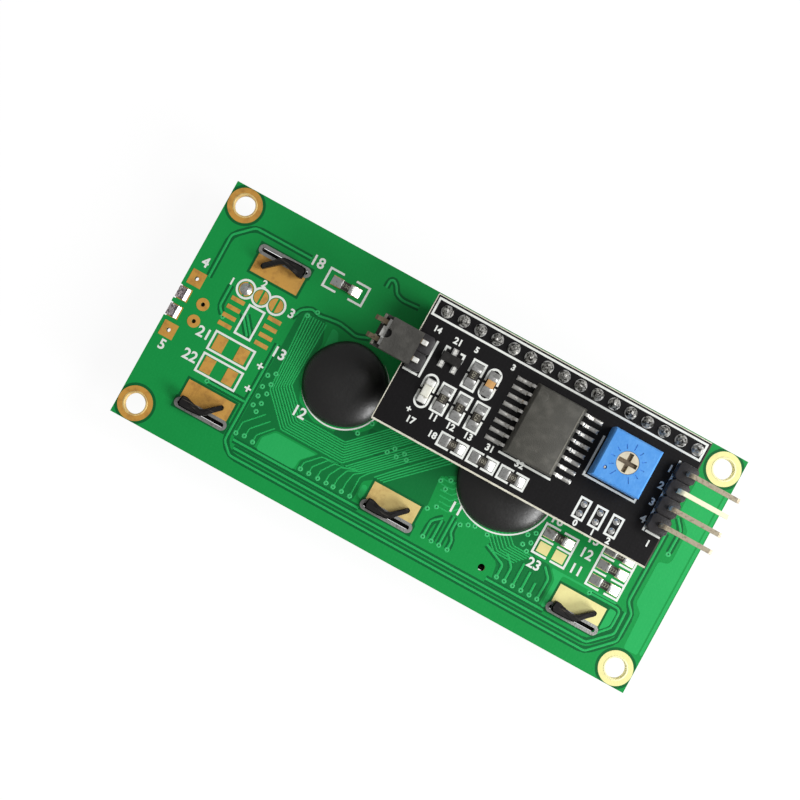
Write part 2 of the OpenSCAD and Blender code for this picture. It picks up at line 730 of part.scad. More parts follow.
module backlight_tray() color("whitesmoke") difference() {
    in_bezel(light_z) block(glass_l, rear_glass_w, front_z - light_z);
    in_bezel(light_z - through) block(recess_l, recess_w, recess_h + through);
    // Slots that let the lamp leads out at the left end
    at_lamp_leads() translate([board_l / 2 - glass_l / 2 - through, 0, front_z - tray_floor - hair])
        translate([0, -lead_w / 2 - guide_gap, 0])
            cube([through + tray_wall + lead_t + guide_gap, lead_w + 2 * guide_gap, tray_floor + through]);
}

module diffuser_film() color("white") in_bezel(light_z)
    block(recess_l - 2 * guide_gap, recess_w - 2 * guide_gap, film_t);

module light_guide() color("#e8f0f0") in_bezel(light_z + film_t)
    translate([guide_x, -recess_w / 2 + guide_gap, 0])
        cube([recess_l / 2 - guide_gap - guide_x, recess_w - 2 * guide_gap, recess_h - film_t]);

module lamp_strip() color("#f4f2d8") in_bezel(light_z + film_t) {
    translate([lamp_x, -recess_w / 2 + guide_gap, 0])
        cube([lamp_board_t, recess_w - 2 * guide_gap, recess_h - film_t]);
    translate([lamp_x + lamp_board_t + lamp_t / 2, 0, 0]) rotate(90)
        row(lamp_n, recess_w / lamp_n) block(lamp_l, lamp_t, recess_h - film_t);
}

// Flat leads from the lamp strip, along the board's front and round its left edge
module lamp_leads() color("silver") at_lamp_leads() translate([-edge_x, -lead_w / 2, 0]) {
    fold_z = back_z + copper_t;
    inner_x = lamp_x - lead_t;
    translate([inner_x, 0, light_z + film_t + 0.5])
        cube([lead_t, lead_w, front_z - light_z - film_t - 0.5]);
    translate([lead_x, 0, front_z - lead_t]) cube([inner_x + lead_t - lead_x, lead_w, lead_t]);
    translate([lead_x, 0, front_z - lead_t]) cube([lead_t, lead_w, fold_z + 2 * lead_t - front_z]);
    translate([lead_x, 0, fold_z]) cube([lead_fold, lead_w, lead_t]);
}

// ---------------------------------------------------------------- parts on the main board

// A drop of resin over a bare chip, flat below and lens shaped above
module resin_dome(d) {
    dome_r = ((d / 2) * (d / 2) + dome_h * dome_h) / (2 * dome_h);
    rotate_extrude($fn = 96) intersection() {
        translate([0, dome_h - dome_r]) circle(r = dome_r, $fn = 360);
        square([d / 2, dome_h]);
    }
}

module left_driver_dome() color("#1d1b1b") on_board(left_dome_at) resin_dome(left_dome_d);

module right_driver_dome() color("#1d1b1b") on_board(right_dome_at) resin_dome(right_dome_d);

module board_resistor(i) color("#2a2826") on_board(board_resistor_at[i]) chip_part();

module board_solder() color("silver") {
    for (at = board_resistor_at) on_board(at) part_fillets(board_land_reach);
    // One solder bridge is closed
    on_board([bridge_at[0] - bridge_pitch, bridge_at[1]]) translate([0, 0, copper_t])
        cylinder(d1 = 1.7, d2 = 0.7, h = 0.4);
    // A bead at the end of each folded lamp lead
    at_lamp_leads() translate([lead_edge_gap + lead_fold, lead_w / 2, back_z + copper_t]) rotate([90, 0, 0])
        linear_extrude(lead_w) polygon([[0, 0], [0.55, 0], [0.1, lead_t + 0.1], [0, lead_t + 0.1]]);
}

// ---------------------------------------------------------------- link header

module link_header_strip() color("#1a1a1a") translate([link_x, link_y, pack_under_z - strip_h])
    header_strip(link_n);

module link_header_pins() color("gold") translate([link_x, link_y, 0])
    pin_row(link_n, front_z - pin_stub, pack_z + pin_stub);

module link_solder_upper() color("silver") translate([link_x, link_y, pack_z])
    row(link_n, pin_pitch) pin_joint(pack_t);

module link_solder_lower() color("silver") translate([link_x, link_y, front_z]) mirror([0, 0, 1])
    row(link_n, pin_pitch) pin_joint(board_t);

// ---------------------------------------------------------------- interface board

module interface_board() color("#232124") difference() {
    translate([pack_x, pack_y, pack_under_z]) scored_plate(pack_l, pack_w, pack_t, score_w);
    translate([0, 0, pack_under_z - through]) {
        translate([link_x, link_y, 0]) row(link_n, pin_pitch)
            cylinder(d = pin_drill_d, h = pack_t + 2 * through);
        at_cable_header() row(cable_n, pin_pitch) cylinder(d = pin_drill_d, h = pack_t + 2 * through);
        at_lamp_header() row(lamp_header_n, pin_pitch) cylinder(d = pin_drill_d, h = pack_t + 2 * through);
        translate([pack_x + trimmer_at[0], pack_y + trimmer_at[1], 0]) for (at = trimmer_pin_at)
            translate(at) cylinder(d = trimmer_drill_d, h = pack_t + 2 * through);
    }
}

// A plate whose edges carry a bevel above and below, left by scoring
module scored_plate(l, w, h, bevel) intersection() {
    rotate([90, 0, 90]) linear_extrude(l, center = true) polygon(scored_outline(w, h, bevel));
    rotate([90, 0, 0]) linear_extrude(w, center = true) polygon(scored_outline(l, h, bevel));
}

function scored_outline(w, h, bevel) = let (x = w / 2) [
    [-x + bevel, 0], [x - bevel, 0], [x, bevel], [x, h - bevel],
    [x - bevel, h], [-x + bevel, h], [-x, h - bevel], [-x, bevel]];

module at_cable_header() translate([cable_x, cable_y, 0]) rotate(90) children();

module at_lamp_header() translate([lamp_header_x, lamp_header_y, 0]) rotate(90) children();

module interface_lands() color("silver") {
    translate([link_x, link_y, pack_z]) row(link_n, pin_pitch) drilled_land(joint_d, pin_drill_d);
    for (at = pack_resistor_at) on_pack(at, at[2]) part_land_pair(pack_land_reach);
    on_pack(capacitor_at, capacitor_at[2]) part_land_pair(pack_land_reach);
    on_pack(power_lamp_at, power_lamp_at[2]) part_land_pair(pack_land_reach);
    on_pack(chip_at) for (turn = [0, 180]) rotate(turn)
        translate([chip_span / 2 - chip_foot_l + chip_land_l / 2, 0, 0]) rotate(90)
            row(chip_lead_n, chip_pitch) block(chip_land_w, chip_land_l, copper_t);
    on_pack(transistor_at) transistor_lands();
    for (x = address_x) on_pack([x, address_y]) for (y = [-0.69, 0.69])
        translate([0, y, 0]) cylinder(d = 0.9, h = copper_t);
    translate([0, 0, pack_under_z - copper_t]) {
        at_cable_header() row(cable_n, pin_pitch) drilled_land(joint_d, pin_drill_d);
        at_lamp_header() row(lamp_header_n, pin_pitch) drilled_land(joint_d, pin_drill_d);
        translate([pack_x + trimmer_at[0], pack_y + trimmer_at[1], 0]) for (at = trimmer_pin_at)
            translate(at) drilled_land(joint_d, trimmer_drill_d);
    }
}

module transistor_lands() for (at = [[0, 1.15], [-0.95, -1.15], [0.95, -1.15]])
    translate(at) block(0.8, 0.9, copper_t);

module interface_legend() color("white") {
    // Outline of the pin row
    translate([link_x - 0.4, link_y + 0.02, pack_z]) print_box(link_l + 0.3, 2.65);
    // Outlines of the chip parts
    for (at = pack_resistor_at) on_pack(at, at[2]) print_box(pack_print_l, pack_print_w, print_break);
    on_pack(capacitor_at, capacitor_at[2]) clear_of_lands()
        round_print_box(pack_print_l + print_break, pack_print_w, print_break);
    on_pack(power_lamp_at, power_lamp_at[2]) clear_of_lands()
        round_print_box(pack_print_l + 2 * print_break, pack_print_w, print_break);
    for (x = address_x) on_pack([x, address_y]) print_box(address_print_w, address_print_l);
    on_pack(transistor_at) difference() {
        block(3, 2.9, print_t);
        translate([0, 0, -through]) {
            block(3 - 2 * print_w, 2.9 - 2 * print_w, 2 * through);
            translate([0, -1.1, 0]) block(4, 2.2, 2 * through);
            block(1.5, 4, 2 * through);
        }
    }
    // Brackets below the chip, round the trimmer and beside the two bent headers
    on_pack([chip_at[0], chip_at[1] - chip_l / 2 - 0.1 - print_w / 2]) print_line(chip_w + 0.4);
    on_pack(trimmer_at) difference() {
        print_box(trimmer_w + 1, trimmer_w + 1);
        translate([0, 3.2, -through]) block(trimmer_w + 2, 2.4, 2 * through);
    }
    on_pack([cable_x - pack_x - 0.05, cable_y - pack_y]) header_bracket(cable_n, -1);
    on_pack([lamp_header_x - pack_x + 0.05, lamp_header_y - pack_y]) header_bracket(lamp_header_n, 1);
}

// Cuts its children back from the two lands of a chip part on the interface board
module clear_of_lands() difference() {
    children();
    translate([0, 0, -through]) block(2 * pack_land_reach + 0.1, part_w + 0.25, 2 * through);
}

// A printed outline with round ends, open at the middle of its long sides
module round_print_box(l, w, gap) difference() {
    stadium(l, w, print_t);
    translate([0, 0, -through]) {
        stadium(l - 2 * print_w, w - 2 * print_w, 2 * through);
        block(gap, w + 1, 2 * through);
    }
}

// Print on one side and at the lower end of a bent header's strip
module header_bracket(n, side) {
    l = n * pin_pitch + 0.1;
    translate([side * (strip_w / 2 + print_w / 2), -print_w / 2, 0])
        rotate(90) print_line(l + print_w);
    translate([0, -l / 2 - print_w / 2, 0]) print_line(strip_w - 0.3);
}

module interface_solder() color("silver") {
    for (at = pack_resistor_at) on_pack(at, at[2]) part_fillets(pack_land_reach);
    on_pack(capacitor_at, capacitor_at[2]) part_fillets(pack_land_reach);
    on_pack(power_lamp_at, power_lamp_at[2]) part_fillets(pack_land_reach);
    on_pack(chip_at) for (turn = [0, 180]) rotate(turn)
        translate([chip_span / 2, 0, copper_t]) rotate(90) row(chip_lead_n, chip_pitch)
            rotate(-90) chip_fillet();
    for (x = address_x) on_pack([x, address_y]) for (y = [-0.69, 0.69])
        translate([0, y, copper_t]) cylinder(d1 = 0.8, d2 = 0.4, h = 0.18);
}

// The wedge of solder in front of one chip lead, rising towards -X
module chip_fillet() translate([0, chip_lead_w / 2, 0]) rotate([90, 0, 0]) linear_extrude(chip_lead_w)
    polygon([[0, 0], [chip_land_l - chip_foot_l - 0.1, 0], [0.1, 0.2], [0, 0.2]]);

module underside_solder() color("silver") translate([0, 0, pack_under_z]) mirror([0, 0, 1]) {
    at_cable_header() row(cable_n, pin_pitch) pin_joint(pack_t);
    at_lamp_header() row(lamp_header_n, pin_pitch) pin_joint(pack_t);
    translate([pack_x + trimmer_at[0], pack_y + trimmer_at[1], 0]) for (at = trimmer_pin_at)
        translate(at) difference() {
            union() {
                translate([0, 0, copper_t]) cylinder(d1 = joint_d, d2 = 0.62 * joint_d, h = joint_h);
                translate([0, 0, -pack_t]) cylinder(d = trimmer_drill_d, h = pack_t + copper_t);
            }
            translate([0, 0, -pack_t - through])
                cylinder(d = trimmer_pin_d, h = pack_t + joint_h + 3 * through);
        }
}

// ---------------------------------------------------------------- interface chip

module chip_body() color("#55544f") on_pack(chip_at) difference() {
    translate([0, 0, chip_lift]) rotate(90) moulded_block(chip_l, chip_w, chip_h, mould_draft, band_h);
    // Round dimple beside the first lead
    translate([-chip_w / 2 + 1.4, chip_l / 2 - 1.4, chip_lift + chip_h - 0.1]) cylinder(d = 1, h = 1);
}

module chip_leads() color("silver") on_pack(chip_at) for (turn = [0, 180]) rotate(turn)
    rotate(90) row(chip_lead_n, chip_pitch) rotate(-90) gull_lead(chip_w / 2, chip_span / 2,
        chip_lift + chip_h / 2 - chip_lead_t / 2, chip_lead_t, chip_lead_w, chip_foot_l);

// A lead that leaves a body at one height, drops, and runs out flat on its land
module gull_lead(inner, outer, high, t, w, foot) {
    knee = outer - foot;
    low = copper_t;
    translate([0, w / 2, 0]) rotate([90, 0, 0]) linear_extrude(w) polygon([
        [inner, high], [knee - t, high], [knee - t / 2, low], [outer, low],
        [outer, low + t], [knee + t / 2, low + t], [knee, high + t], [inner, high + t]]);
}

// ---------------------------------------------------------------- trimmer

module trimmer_body() color("#3f8fe0") on_pack(trimmer_at) difference() {
    union() {
        translate([0, 0, trimmer_foot_h]) bevelled_top(trimmer_w, trimmer_h - trimmer_foot_h, 0.2);
        for (x = [-1, 1] * (trimmer_w / 2 - 0.6), y = [-1, 1] * (trimmer_w / 2 - 0.6))
            translate([x, y, 0]) block(1.2, 1.2, trimmer_foot_h + 0.1);
    }
    translate([0, 0, rotor_z]) cylinder(d = rotor_d + 2 * rotor_gap, h = trimmer_h);
    translate([0, 0, rotor_z - stem_l - 0.1]) cylinder(d = stem_d + 2 * rotor_gap, h = trimmer_h);
    // Marks pressed into the top round the rotor, and a round sink mark
    for (i = [0:mark_n - 1]) rotate(-60 + i * 300 / (mark_n - 1))
        translate([rotor_d / 2 + 0.35, -0.07, trimmer_h - 0.1]) cube([i % 5 == 0 ? 0.9 : 0.6, 0.14, 1]);
    translate([-0.34 * trimmer_w, -0.27 * trimmer_w, trimmer_h - 0.2]) cylinder(d = 0.6, h = 1, $fn = 24);
}

// A square block with a bevel along its four top edges
module bevelled_top(w, h, bevel) {
    outline = [[-w / 2, 0], [w / 2, 0], [w / 2, h - bevel], [w / 2 - bevel, h], [-w / 2 + bevel, h],
        [-w / 2, h - bevel]];
    intersection() {
        rotate([90, 0, 90]) linear_extrude(w, center = true) polygon(outline);
        rotate([90, 0, 0]) linear_extrude(w, center = true) polygon(outline);
    }
}

module trimmer_rotor() color("#e8e2cf") on_pack(trimmer_at) difference() {
    union() {
        translate([0, 0, rotor_z]) cylinder(d = rotor_d, h = rotor_h);
        translate([0, 0, rotor_z - stem_l]) cylinder(d = stem_d, h = stem_l + rotor_h / 2);
    }
    for (turn = [0, 90]) rotate(turn) translate([0, 0, rotor_z + rotor_h - cross_depth])
        block(0.9 * rotor_d, cross_w, rotor_h);
}

module trimmer_pins() color("silver") on_pack(trimmer_at) for (at = trimmer_pin_at)
    translate([at[0], at[1], -pack_t - pin_stub])
        cylinder(d = trimmer_pin_d, h = pack_t + pin_stub + trimmer_foot_h);

// ---------------------------------------------------------------- chip parts of the interface board

module interface_resistor(i) color("#2a2826") on_pack(pack_resistor_at[i], pack_resistor_at[i][2]) chip_part();

module ceramic_capacitor() color("#d9a05e") on_pack(capacitor_at, capacitor_at[2]) chip_part(h = 0.9);

// A lamp in a flat case, with a clear lens block between its two metal ends
module power_lamp() color("ivory") on_pack(power_lamp_at, power_lamp_at[2]) {
    chip_part(h = 0.35);
    translate([0, 0, copper_t + 0.3]) moulded_block(part_l - 2 * end_l, part_w, 0.45, 0.08, 0.2);
}

module transistor_body() color("#1f1d1c") on_pack(transistor_at) translate([0, 0, 0.1])
    moulded_block(2.9, 1.3, 1, 0.1, 0.2);

module transistor_leads() color("silver") on_pack(transistor_at)
    for (at = [[0, 90], [-0.95, 270], [0.95, 270]])
        translate([at[0], 0, 0]) rotate(at[1]) gull_lead(0.65, 1.5, 0.52, 0.12, 0.42, 0.4);

// ---------------------------------------------------------------- bent headers and jumper

module cable_header_strip() color("#1a1a1a") translate([0, 0, pack_z]) at_cable_header() header_strip(cable_n);

module cable_header_pins() color("#c9b37a") translate([0, 0, pack_z]) at_cable_header()
    row(cable_n, pin_pitch) rotate(-90) bent_pin();

module lamp_header_strip() color("#1a1a1a") translate([0, 0, pack_z]) at_lamp_header()
    header_strip(lamp_header_n);

module lamp_header_pins() color("#c9b37a") translate([0, 0, pack_z]) at_lamp_header()
    row(lamp_header_n, pin_pitch) rotate(90) bent_pin();

// The jumper's own frame: X = 0 at the end by the legs, the pins run along -X at Z = 0
module at_jumper() translate([cap_end_x, lamp_header_y, pack_z + arm_z]) children();

module jumper_cap() color("#57554f") at_jumper() difference() {
    translate([-cap_l / 2, 0, -cap_h / 2]) block(cap_l, cap_w, cap_h);
    // Cavity for the contact, open at both ends
    translate([-cap_l / 2, 0, -cavity_h / 2]) block(cap_l + 2, cavity_w, cavity_h);
    // The top is stepped back at the free end, with a half-round notch in it
    translate([-cap_l, 0, 0.1]) block(2 * cap_step_l, cap_w + 2, cap_h);
    translate([-cap_l + cap_step_l, 0, 0]) cylinder(d = cap_notch_d, h = cap_h);
}

// Sheet that joins both pins: a square tube round each, on a common floor with an end tab
module jumper_contact() color("gainsboro") at_jumper() {
    floor_t = cavity_h / 2 - socket_d / 2;
    translate([-0.3 - contact_l / 2, 0, -cavity_h / 2]) difference() {
        union() {
            block(contact_l, contact_w, floor_t);
            rotate(90) row(lamp_header_n, pin_pitch) block(tube_d, contact_l, floor_t + socket_d + contact_t);
        }
        translate([0, 0, floor_t]) rotate(90) row(lamp_header_n, pin_pitch)
            block(socket_d, contact_l + 2, socket_d);
    }
    translate([-0.3 - contact_l, 0, -cavity_h / 2]) block(0.7, 1.4, floor_t + 0.5);
}

// ---------------------------------------------------------------- assembly

main_board();
mount_lands();
tab_lands();
slot_rims();
part_lands();
board_legend();
bezel();
front_polariser();
front_glass();
rear_glass();
rear_polariser();
upper_rubber_connector();
lower_rubber_connector();
backlight_tray();
light_guide();
diffuser_film();
lamp_strip();
lamp_leads();
left_driver_dome();
right_driver_dome();
board_resistor(0);  // board_resistor_1
board_resistor(1);  // board_resistor_2
board_resistor(2);  // board_resistor_3
board_resistor(3);  // board_resistor_4
board_resistor(4);  // board_resistor_5
board_solder();
link_header_strip();
link_header_pins();
link_solder_upper();
link_solder_lower();
interface_board();
interface_lands();
interface_legend();
interface_solder();
underside_solder();
chip_body();
chip_leads();
trimmer_body();
trimmer_rotor();
trimmer_pins();
power_lamp();
interface_resistor(0);  // interface_resistor_1
interface_resistor(1);  // interface_resistor_2
interface_resistor(2);  // interface_resistor_3
interface_resistor(3);  // interface_resistor_4
interface_resistor(4);  // interface_resistor_5
interface_resistor(5);  // interface_resistor_6
interface_resistor(6);  // interface_resistor_7
ceramic_capacitor();
transistor_body();
transistor_leads();
cable_header_strip();
cable_header_pins();
lamp_header_strip();
lamp_header_pins();
jumper_cap();
jumper_contact();
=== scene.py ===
"""Looks of a character display module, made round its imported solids.

The classes hold their sizes in millimetres, and turn them into metres where a mesh is made.
Places on a board are counted from its left edge and from its header edge.
"""

import logging
import math
from collections.abc import Callable, Iterable, Iterator, Sequence
from contextlib import contextmanager
from dataclasses import dataclass
from enum import Enum

import bmesh
import bpy
from mathutils import Matrix, Vector


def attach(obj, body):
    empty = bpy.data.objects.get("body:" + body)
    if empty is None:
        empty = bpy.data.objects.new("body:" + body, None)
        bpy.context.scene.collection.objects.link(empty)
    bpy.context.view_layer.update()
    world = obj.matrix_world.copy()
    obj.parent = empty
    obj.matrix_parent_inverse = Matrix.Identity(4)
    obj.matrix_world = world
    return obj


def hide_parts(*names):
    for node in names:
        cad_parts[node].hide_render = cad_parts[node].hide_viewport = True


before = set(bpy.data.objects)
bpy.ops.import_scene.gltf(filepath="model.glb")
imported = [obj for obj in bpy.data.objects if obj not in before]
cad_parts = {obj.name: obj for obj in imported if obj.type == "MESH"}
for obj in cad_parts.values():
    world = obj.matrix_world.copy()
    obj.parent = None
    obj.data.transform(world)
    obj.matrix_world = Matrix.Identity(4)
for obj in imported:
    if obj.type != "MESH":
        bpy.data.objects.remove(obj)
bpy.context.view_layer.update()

MM = 0.001
LOG = logging.getLogger("display_module")
LEVEL = 0.9  # least height of a level face's normal
Colour = tuple[float, float, float]
Point = tuple[float, float]
Run = Sequence[Point]
Box = tuple[Sequence[float], Sequence[float]]
Piece = bpy.types.Object


# ---------------------------------------------------------------- shader building


class Value:
    """A number or colour in a material, whose operators add Math nodes."""

    def __init__(self, shader: "Shader", socket: bpy.types.NodeSocket) -> None:
        """Wraps a socket.

        Args:
            shader: The material that the socket belongs to.
            socket: An output socket.
        """
        self.shader = shader
        self.socket = socket

    def math(self, operation: str, *others: "Value | float", first: float | None = None) -> "Value":
        """Adds a Math node.

        Args:
            operation: The Math node's operation.
            others: The operands after this value.
            first: An operand before this value, for reflected operators.

        Returns:
            The node's result.
        """
        operands = [self, *others] if first is None else [first, self, *others]
        node = self.shader.node("ShaderNodeMath", {"operation": operation}, dict(enumerate(operands)))
        return Value(self.shader, node.outputs[0])

    def __add__(self, other: "Value | float") -> "Value":
        """Sum."""
        return self.math("ADD", other)

    def __sub__(self, other: "Value | float") -> "Value":
        """Difference."""
        return self.math("SUBTRACT", other)

    def __mul__(self, other: "Value | float") -> "Value":
        """Product."""
        return self.math("MULTIPLY", other)

    def __rsub__(self, other: float) -> "Value":
        """Difference from a number."""
        return self.math("SUBTRACT", first=other)

    def __lt__(self, other: "Value | float") -> "Value":
        """One where this is the smaller."""
        return self.math("LESS_THAN", other)

    def __gt__(self, other: "Value | float") -> "Value":
        """One where this is the larger."""
        return self.math("GREATER_THAN", other)

    def __abs__(self) -> "Value":
        """Size without sign."""
        return self.math("ABSOLUTE")

    __radd__ = __add__
    __rmul__ = __mul__

    def wrapped(self, pitch: float) -> "Value":
        """Remainder in steps of a pitch, from nought up."""
        return self.math("FLOORED_MODULO", pitch)

    def ramp(self, low: float, high: float) -> "Value":
        """Smooth step from nought at one value to one at another.

        Args:
            low: Where the step starts.
            high: Where the step ends.

        Returns:
            The share of the step.
        """
        node = self.shader.node(
            "ShaderNodeMapRange", {"interpolation_type": "SMOOTHSTEP"},
            {"Value": self, "From Min": low, "From Max": high})
        return Value(self.shader, node.outputs[0])


class Shader:
    """One material under construction, whose patterns are laid out in millimetres on the part."""

    def __init__(self, name: str) -> None:
        """Starts a material.

        Args:
            name: The material's name.
        """
        self.material = bpy.data.materials.new(name)
        self.material.use_nodes = True
        self.tree = self.material.node_tree
        self.surface = self.tree.nodes["Principled BSDF"]
        where = self.node("ShaderNodeTexCoord").outputs["Object"]
        inputs = {"Vector": where, "Scale": 1 / MM}
        self.place = self.node("ShaderNodeVectorMath", {"operation": "SCALE"}, inputs).outputs[0]

    def node(self, kind: str, settings: dict | None = None, inputs: dict | None = None) -> bpy.types.Node:
        """Adds any node.

        Args:
            kind: The node's type.
            settings: Properties of the node, set first.
            inputs: Values or links, by the socket's name or number.

        Returns:
            The new node.
        """
        made = self.tree.nodes.new(kind)
        for name, value in (settings or {}).items():
            setattr(made, name, value)
        for name, value in (inputs or {}).items():
            self.feed(made.inputs[name], value)
        return made

    def feed(self, socket: bpy.types.NodeSocket, value: object) -> None:
        """Links or sets an input socket.

        Args:
            socket: The input.
            value: A Value, a socket, a number, or a colour of three parts.
        """
        if isinstance(value, Value):
            self.tree.links.new(value.socket, socket)
        elif isinstance(value, bpy.types.NodeSocket):
            self.tree.links.new(value, socket)
        elif socket.type == "RGBA" and len(value) == 3:
            socket.default_value = (*value, 1.0)
        else:
            socket.default_value = value

    def noise(self, scale: float, detail: float = 3.0, stretch: Sequence[float] = (1, 1, 1)) -> Value:
        """Cloudy pattern.

        Args:
            scale: Features to the millimetre.
            detail: Octaves.
            stretch: Factors on the three axes.

        Returns:
            The pattern, about one half.
        """
        mapped = self.node("ShaderNodeMapping", None, {"Vector": self.place, "Scale": tuple(stretch)})
        inputs = {"Vector": mapped.outputs[0], "Scale": scale, "Detail": detail}
        return Value(self, self.node("ShaderNodeTexNoise", None, inputs).outputs[0])

    def axis(self, name: str) -> Value:
        """One coordinate on the part, in millimetres."""
        return Value(self, self.node("ShaderNodeSeparateXYZ", None, {0: self.place}).outputs[name])

    def upright(self) -> Value:
        """How far a surface faces up or down, from nought to one."""
        normal = self.node("ShaderNodeNewGeometry").outputs["Normal"]
        return abs(Value(self, self.node("ShaderNodeSeparateXYZ", None, {0: normal}).outputs["Z"]))

    def mix(self, share: Value | float, low: object, high: object) -> Value:
        """Blends two colours.

        Args:
            share: Nought for the first, one for the second.
            low: The first colour.
            high: The second colour.

        Returns:
            The blended colour.
        """
        made = self.node("ShaderNodeMix", {"data_type": "RGBA"}, {0: share, 6: low, 7: high})
        return Value(self, made.outputs[2])

    def dress(self, inputs: dict, height: Value | None = None, depth: float = 0.0) -> bpy.types.Material:
        """Sets the surface and closes the material.

        Args:
            inputs: Values or links of the surface, by the socket's name.
            height: A height pattern, from nought to one.
            depth: The pattern's depth in millimetres.

        Returns:
            The finished material.
        """
        for name, value in inputs.items():
            self.feed(self.surface.inputs[name], value)
        if height is not None:
            bump = self.node("ShaderNodeBump", None, {"Distance": depth * MM, "Height": height})
            self.feed(self.surface.inputs["Normal"], bump.outputs[0])
        return self.material


# ---------------------------------------------------------------- finishes


def shade(colour: Colour, share: float) -> Colour:
    """A darker or paler colour, all its parts times a share."""
    return tuple(share * part for part in colour)


@dataclass(frozen=True)
class SolderMask:
    """Lacquer over a glass laminate, whose cut edges show the bare laminate."""

    name: str
    colour: Colour
    deep: Colour
    core: Colour = (0.50, 0.52, 0.22)
    roughness: float = 0.42
    gloss: float = 0.22
    weave: float = 0.5
    cloud_scale: float = 0.09
    grain_scale: float = 3.2
    layer_scale: float = 0.8
    ripple_scale: float = 1.4
    ripple: float = 0.02
    edge_shade: float = 0.62

    def build(self) -> bpy.types.Material:
        """Makes the material, with clouds, a faint weave and a laminate edge."""
        shader = Shader(self.name)
        clouds = shader.noise(self.cloud_scale, 2.0)
        grain = shader.noise(self.grain_scale, 4.0)
        weave = (shader.axis("X").wrapped(self.weave) > self.weave / 2) * (
            shader.axis("Y").wrapped(self.weave) > self.weave / 2)
        lacquer = shader.mix(clouds * 0.55 + grain * 0.3 + weave * 0.05, self.deep, self.colour)
        layers = shader.noise(self.layer_scale, 3.0, (1, 1, 9))
        cut = shader.mix(layers.ramp(0.35, 0.65), self.core, shade(self.core, self.edge_shade))
        flat = shader.upright().ramp(0.2, 0.8)
        return shader.dress(
            {"Base Color": shader.mix(flat, cut, lacquer),
             "Roughness": grain * 0.16 + self.roughness - 0.08 + (1 - flat) * 0.3,
             "Specular IOR Level": self.gloss},
            shader.noise(self.ripple_scale, 3.0) * 0.6 + weave * 0.1, self.ripple)


@dataclass(frozen=True)
class BareCopper:
    """Flashed copper, with painted light: browner towards the board's left end and paler towards its lit right
    end.
    """

    name: str
    # left and right: painted light, browner away from the lamps and paler towards them
    left: Colour = (0.70, 0.36, 0.070)
    right: Colour = (0.93, 0.88, 0.40)
    tarnish: Colour = (0.28, 0.12, 0.035)
    reach: float = 38.0
    wander: float = 8.0
    patch_scale: float = 1.1
    metallic: float = 0.2
    gloss: float = 0.3
    brushing: float = 0.012

    def build(self) -> bpy.types.Material:
        """Makes the material, with tarnish in patches, painted light from left to right and fine brushing."""
        shader = Shader(self.name)
        wander = shader.noise(0.15, 2.0) * self.wander - self.wander / 2
        # Painted light: the copper's colour blended from the darker left end to the lit right end
        along = (shader.axis("X") + wander).ramp(-self.reach, self.reach)
        patches = shader.noise(self.patch_scale, 5.0)
        metal = shader.mix(along, self.left, self.right)
        # Tarnish in patches is real; thinning it towards the lit right end is painted light
        tarnish_and_painted_light = shader.mix(patches.ramp(0.42, 0.75) * (0.5 - along * 0.4), metal, self.tarnish)
        return shader.dress(
            {"Base Color": tarnish_and_painted_light, "Metallic": self.metallic, "Roughness": patches * 0.25 + 0.35,
             "Specular IOR Level": self.gloss},
            shader.noise(7.0, 3.0), self.brushing)


@dataclass(frozen=True)
class Tin:
    """Solder or tinned metal, bright, with a wrinkled skin and grey flux stains."""

    name: str
    colour: Colour = (0.80, 0.80, 0.78)
    stain: Colour = (0.33, 0.31, 0.29)
    roughness: float = 0.2
    wrinkle: float = 0.02
    metallic: float = 1.0
    grain: float = 2.2
    spots: Point = (0.5, 0.78)

    def build(self) -> bpy.types.Material:
        """Makes the material."""
        shader = Shader(self.name)
        stains = shader.noise(self.grain, 4.0)
        return shader.dress(
            {"Base Color": shader.mix(stains.ramp(*self.spots), self.colour, self.stain),
             "Metallic": self.metallic, "Roughness": stains * 0.25 + self.roughness},
            shader.noise(5.0, 3.0), self.wrinkle)


@dataclass(frozen=True)
class PinRow:
    """Plated pins of which one is paler than the rest."""

    name: str
    colour: Colour = (0.46, 0.40, 0.29)
    stain: Colour = (0.24, 0.19, 0.14)
    pale: Colour = (0.93, 0.91, 0.66)
    pale_y: float = 9.27
    pale_reach: float = 1.0
    wrinkle: float = 0.008

    def build(self) -> bpy.types.Material:
        """Makes the material."""
        shader = Shader(self.name)
        stains = shader.noise(2.2, 4.0)
        plated = shader.mix(stains.ramp(0.45, 0.75), self.colour, self.stain)
        on_pale = abs(shader.axis("Y") - self.pale_y) < self.pale_reach
        return shader.dress(
            {"Base Color": shader.mix(on_pale, plated, self.pale), "Metallic": 0.6 - on_pale * 0.45,
             "Roughness": stains * 0.25 + 0.3}, shader.noise(5.0, 3.0), self.wrinkle)


@dataclass(frozen=True)
class Ink:
    """Thick white print, matt and a little uneven."""

    name: str
    colour: Colour = (0.86, 0.88, 0.84)
    thin_shade: float = 0.72
    roughness: float = 0.62
    thickness: float = 0.008

    def build(self) -> bpy.types.Material:
        """Makes the material."""
        shader = Shader(self.name)
        thin = shader.noise(4.0, 4.0)
        ink = shader.mix(thin.ramp(0.55, 0.8), self.colour, shade(self.colour, self.thin_shade))
        return shader.dress({"Base Color": ink, "Roughness": self.roughness}, thin, self.thickness)


@dataclass(frozen=True)
class Moulding:
    """Moulded plastic or resin with a fine grain and rubbed patches."""

    name: str
    colour: Colour
    rubbed: Colour
    roughness: float = 0.45
    grain: float = 6.0
    depth: float = 0.012
    gloss: float = 0.35
    patch_scale: float = 0.7

    def build(self) -> bpy.types.Material:
        """Makes the material."""
        shader = Shader(self.name)
        patches = shader.noise(self.patch_scale, 4.0)
        grain = shader.noise(self.grain, 4.0)
        return shader.dress(
            {"Base Color": shader.mix(patches.ramp(0.4, 0.8) * 0.7 + grain * 0.3, self.colour, self.rubbed),
             "Roughness": self.roughness + grain * 0.16 - 0.08, "Specular IOR Level": self.gloss},
            grain, self.depth)


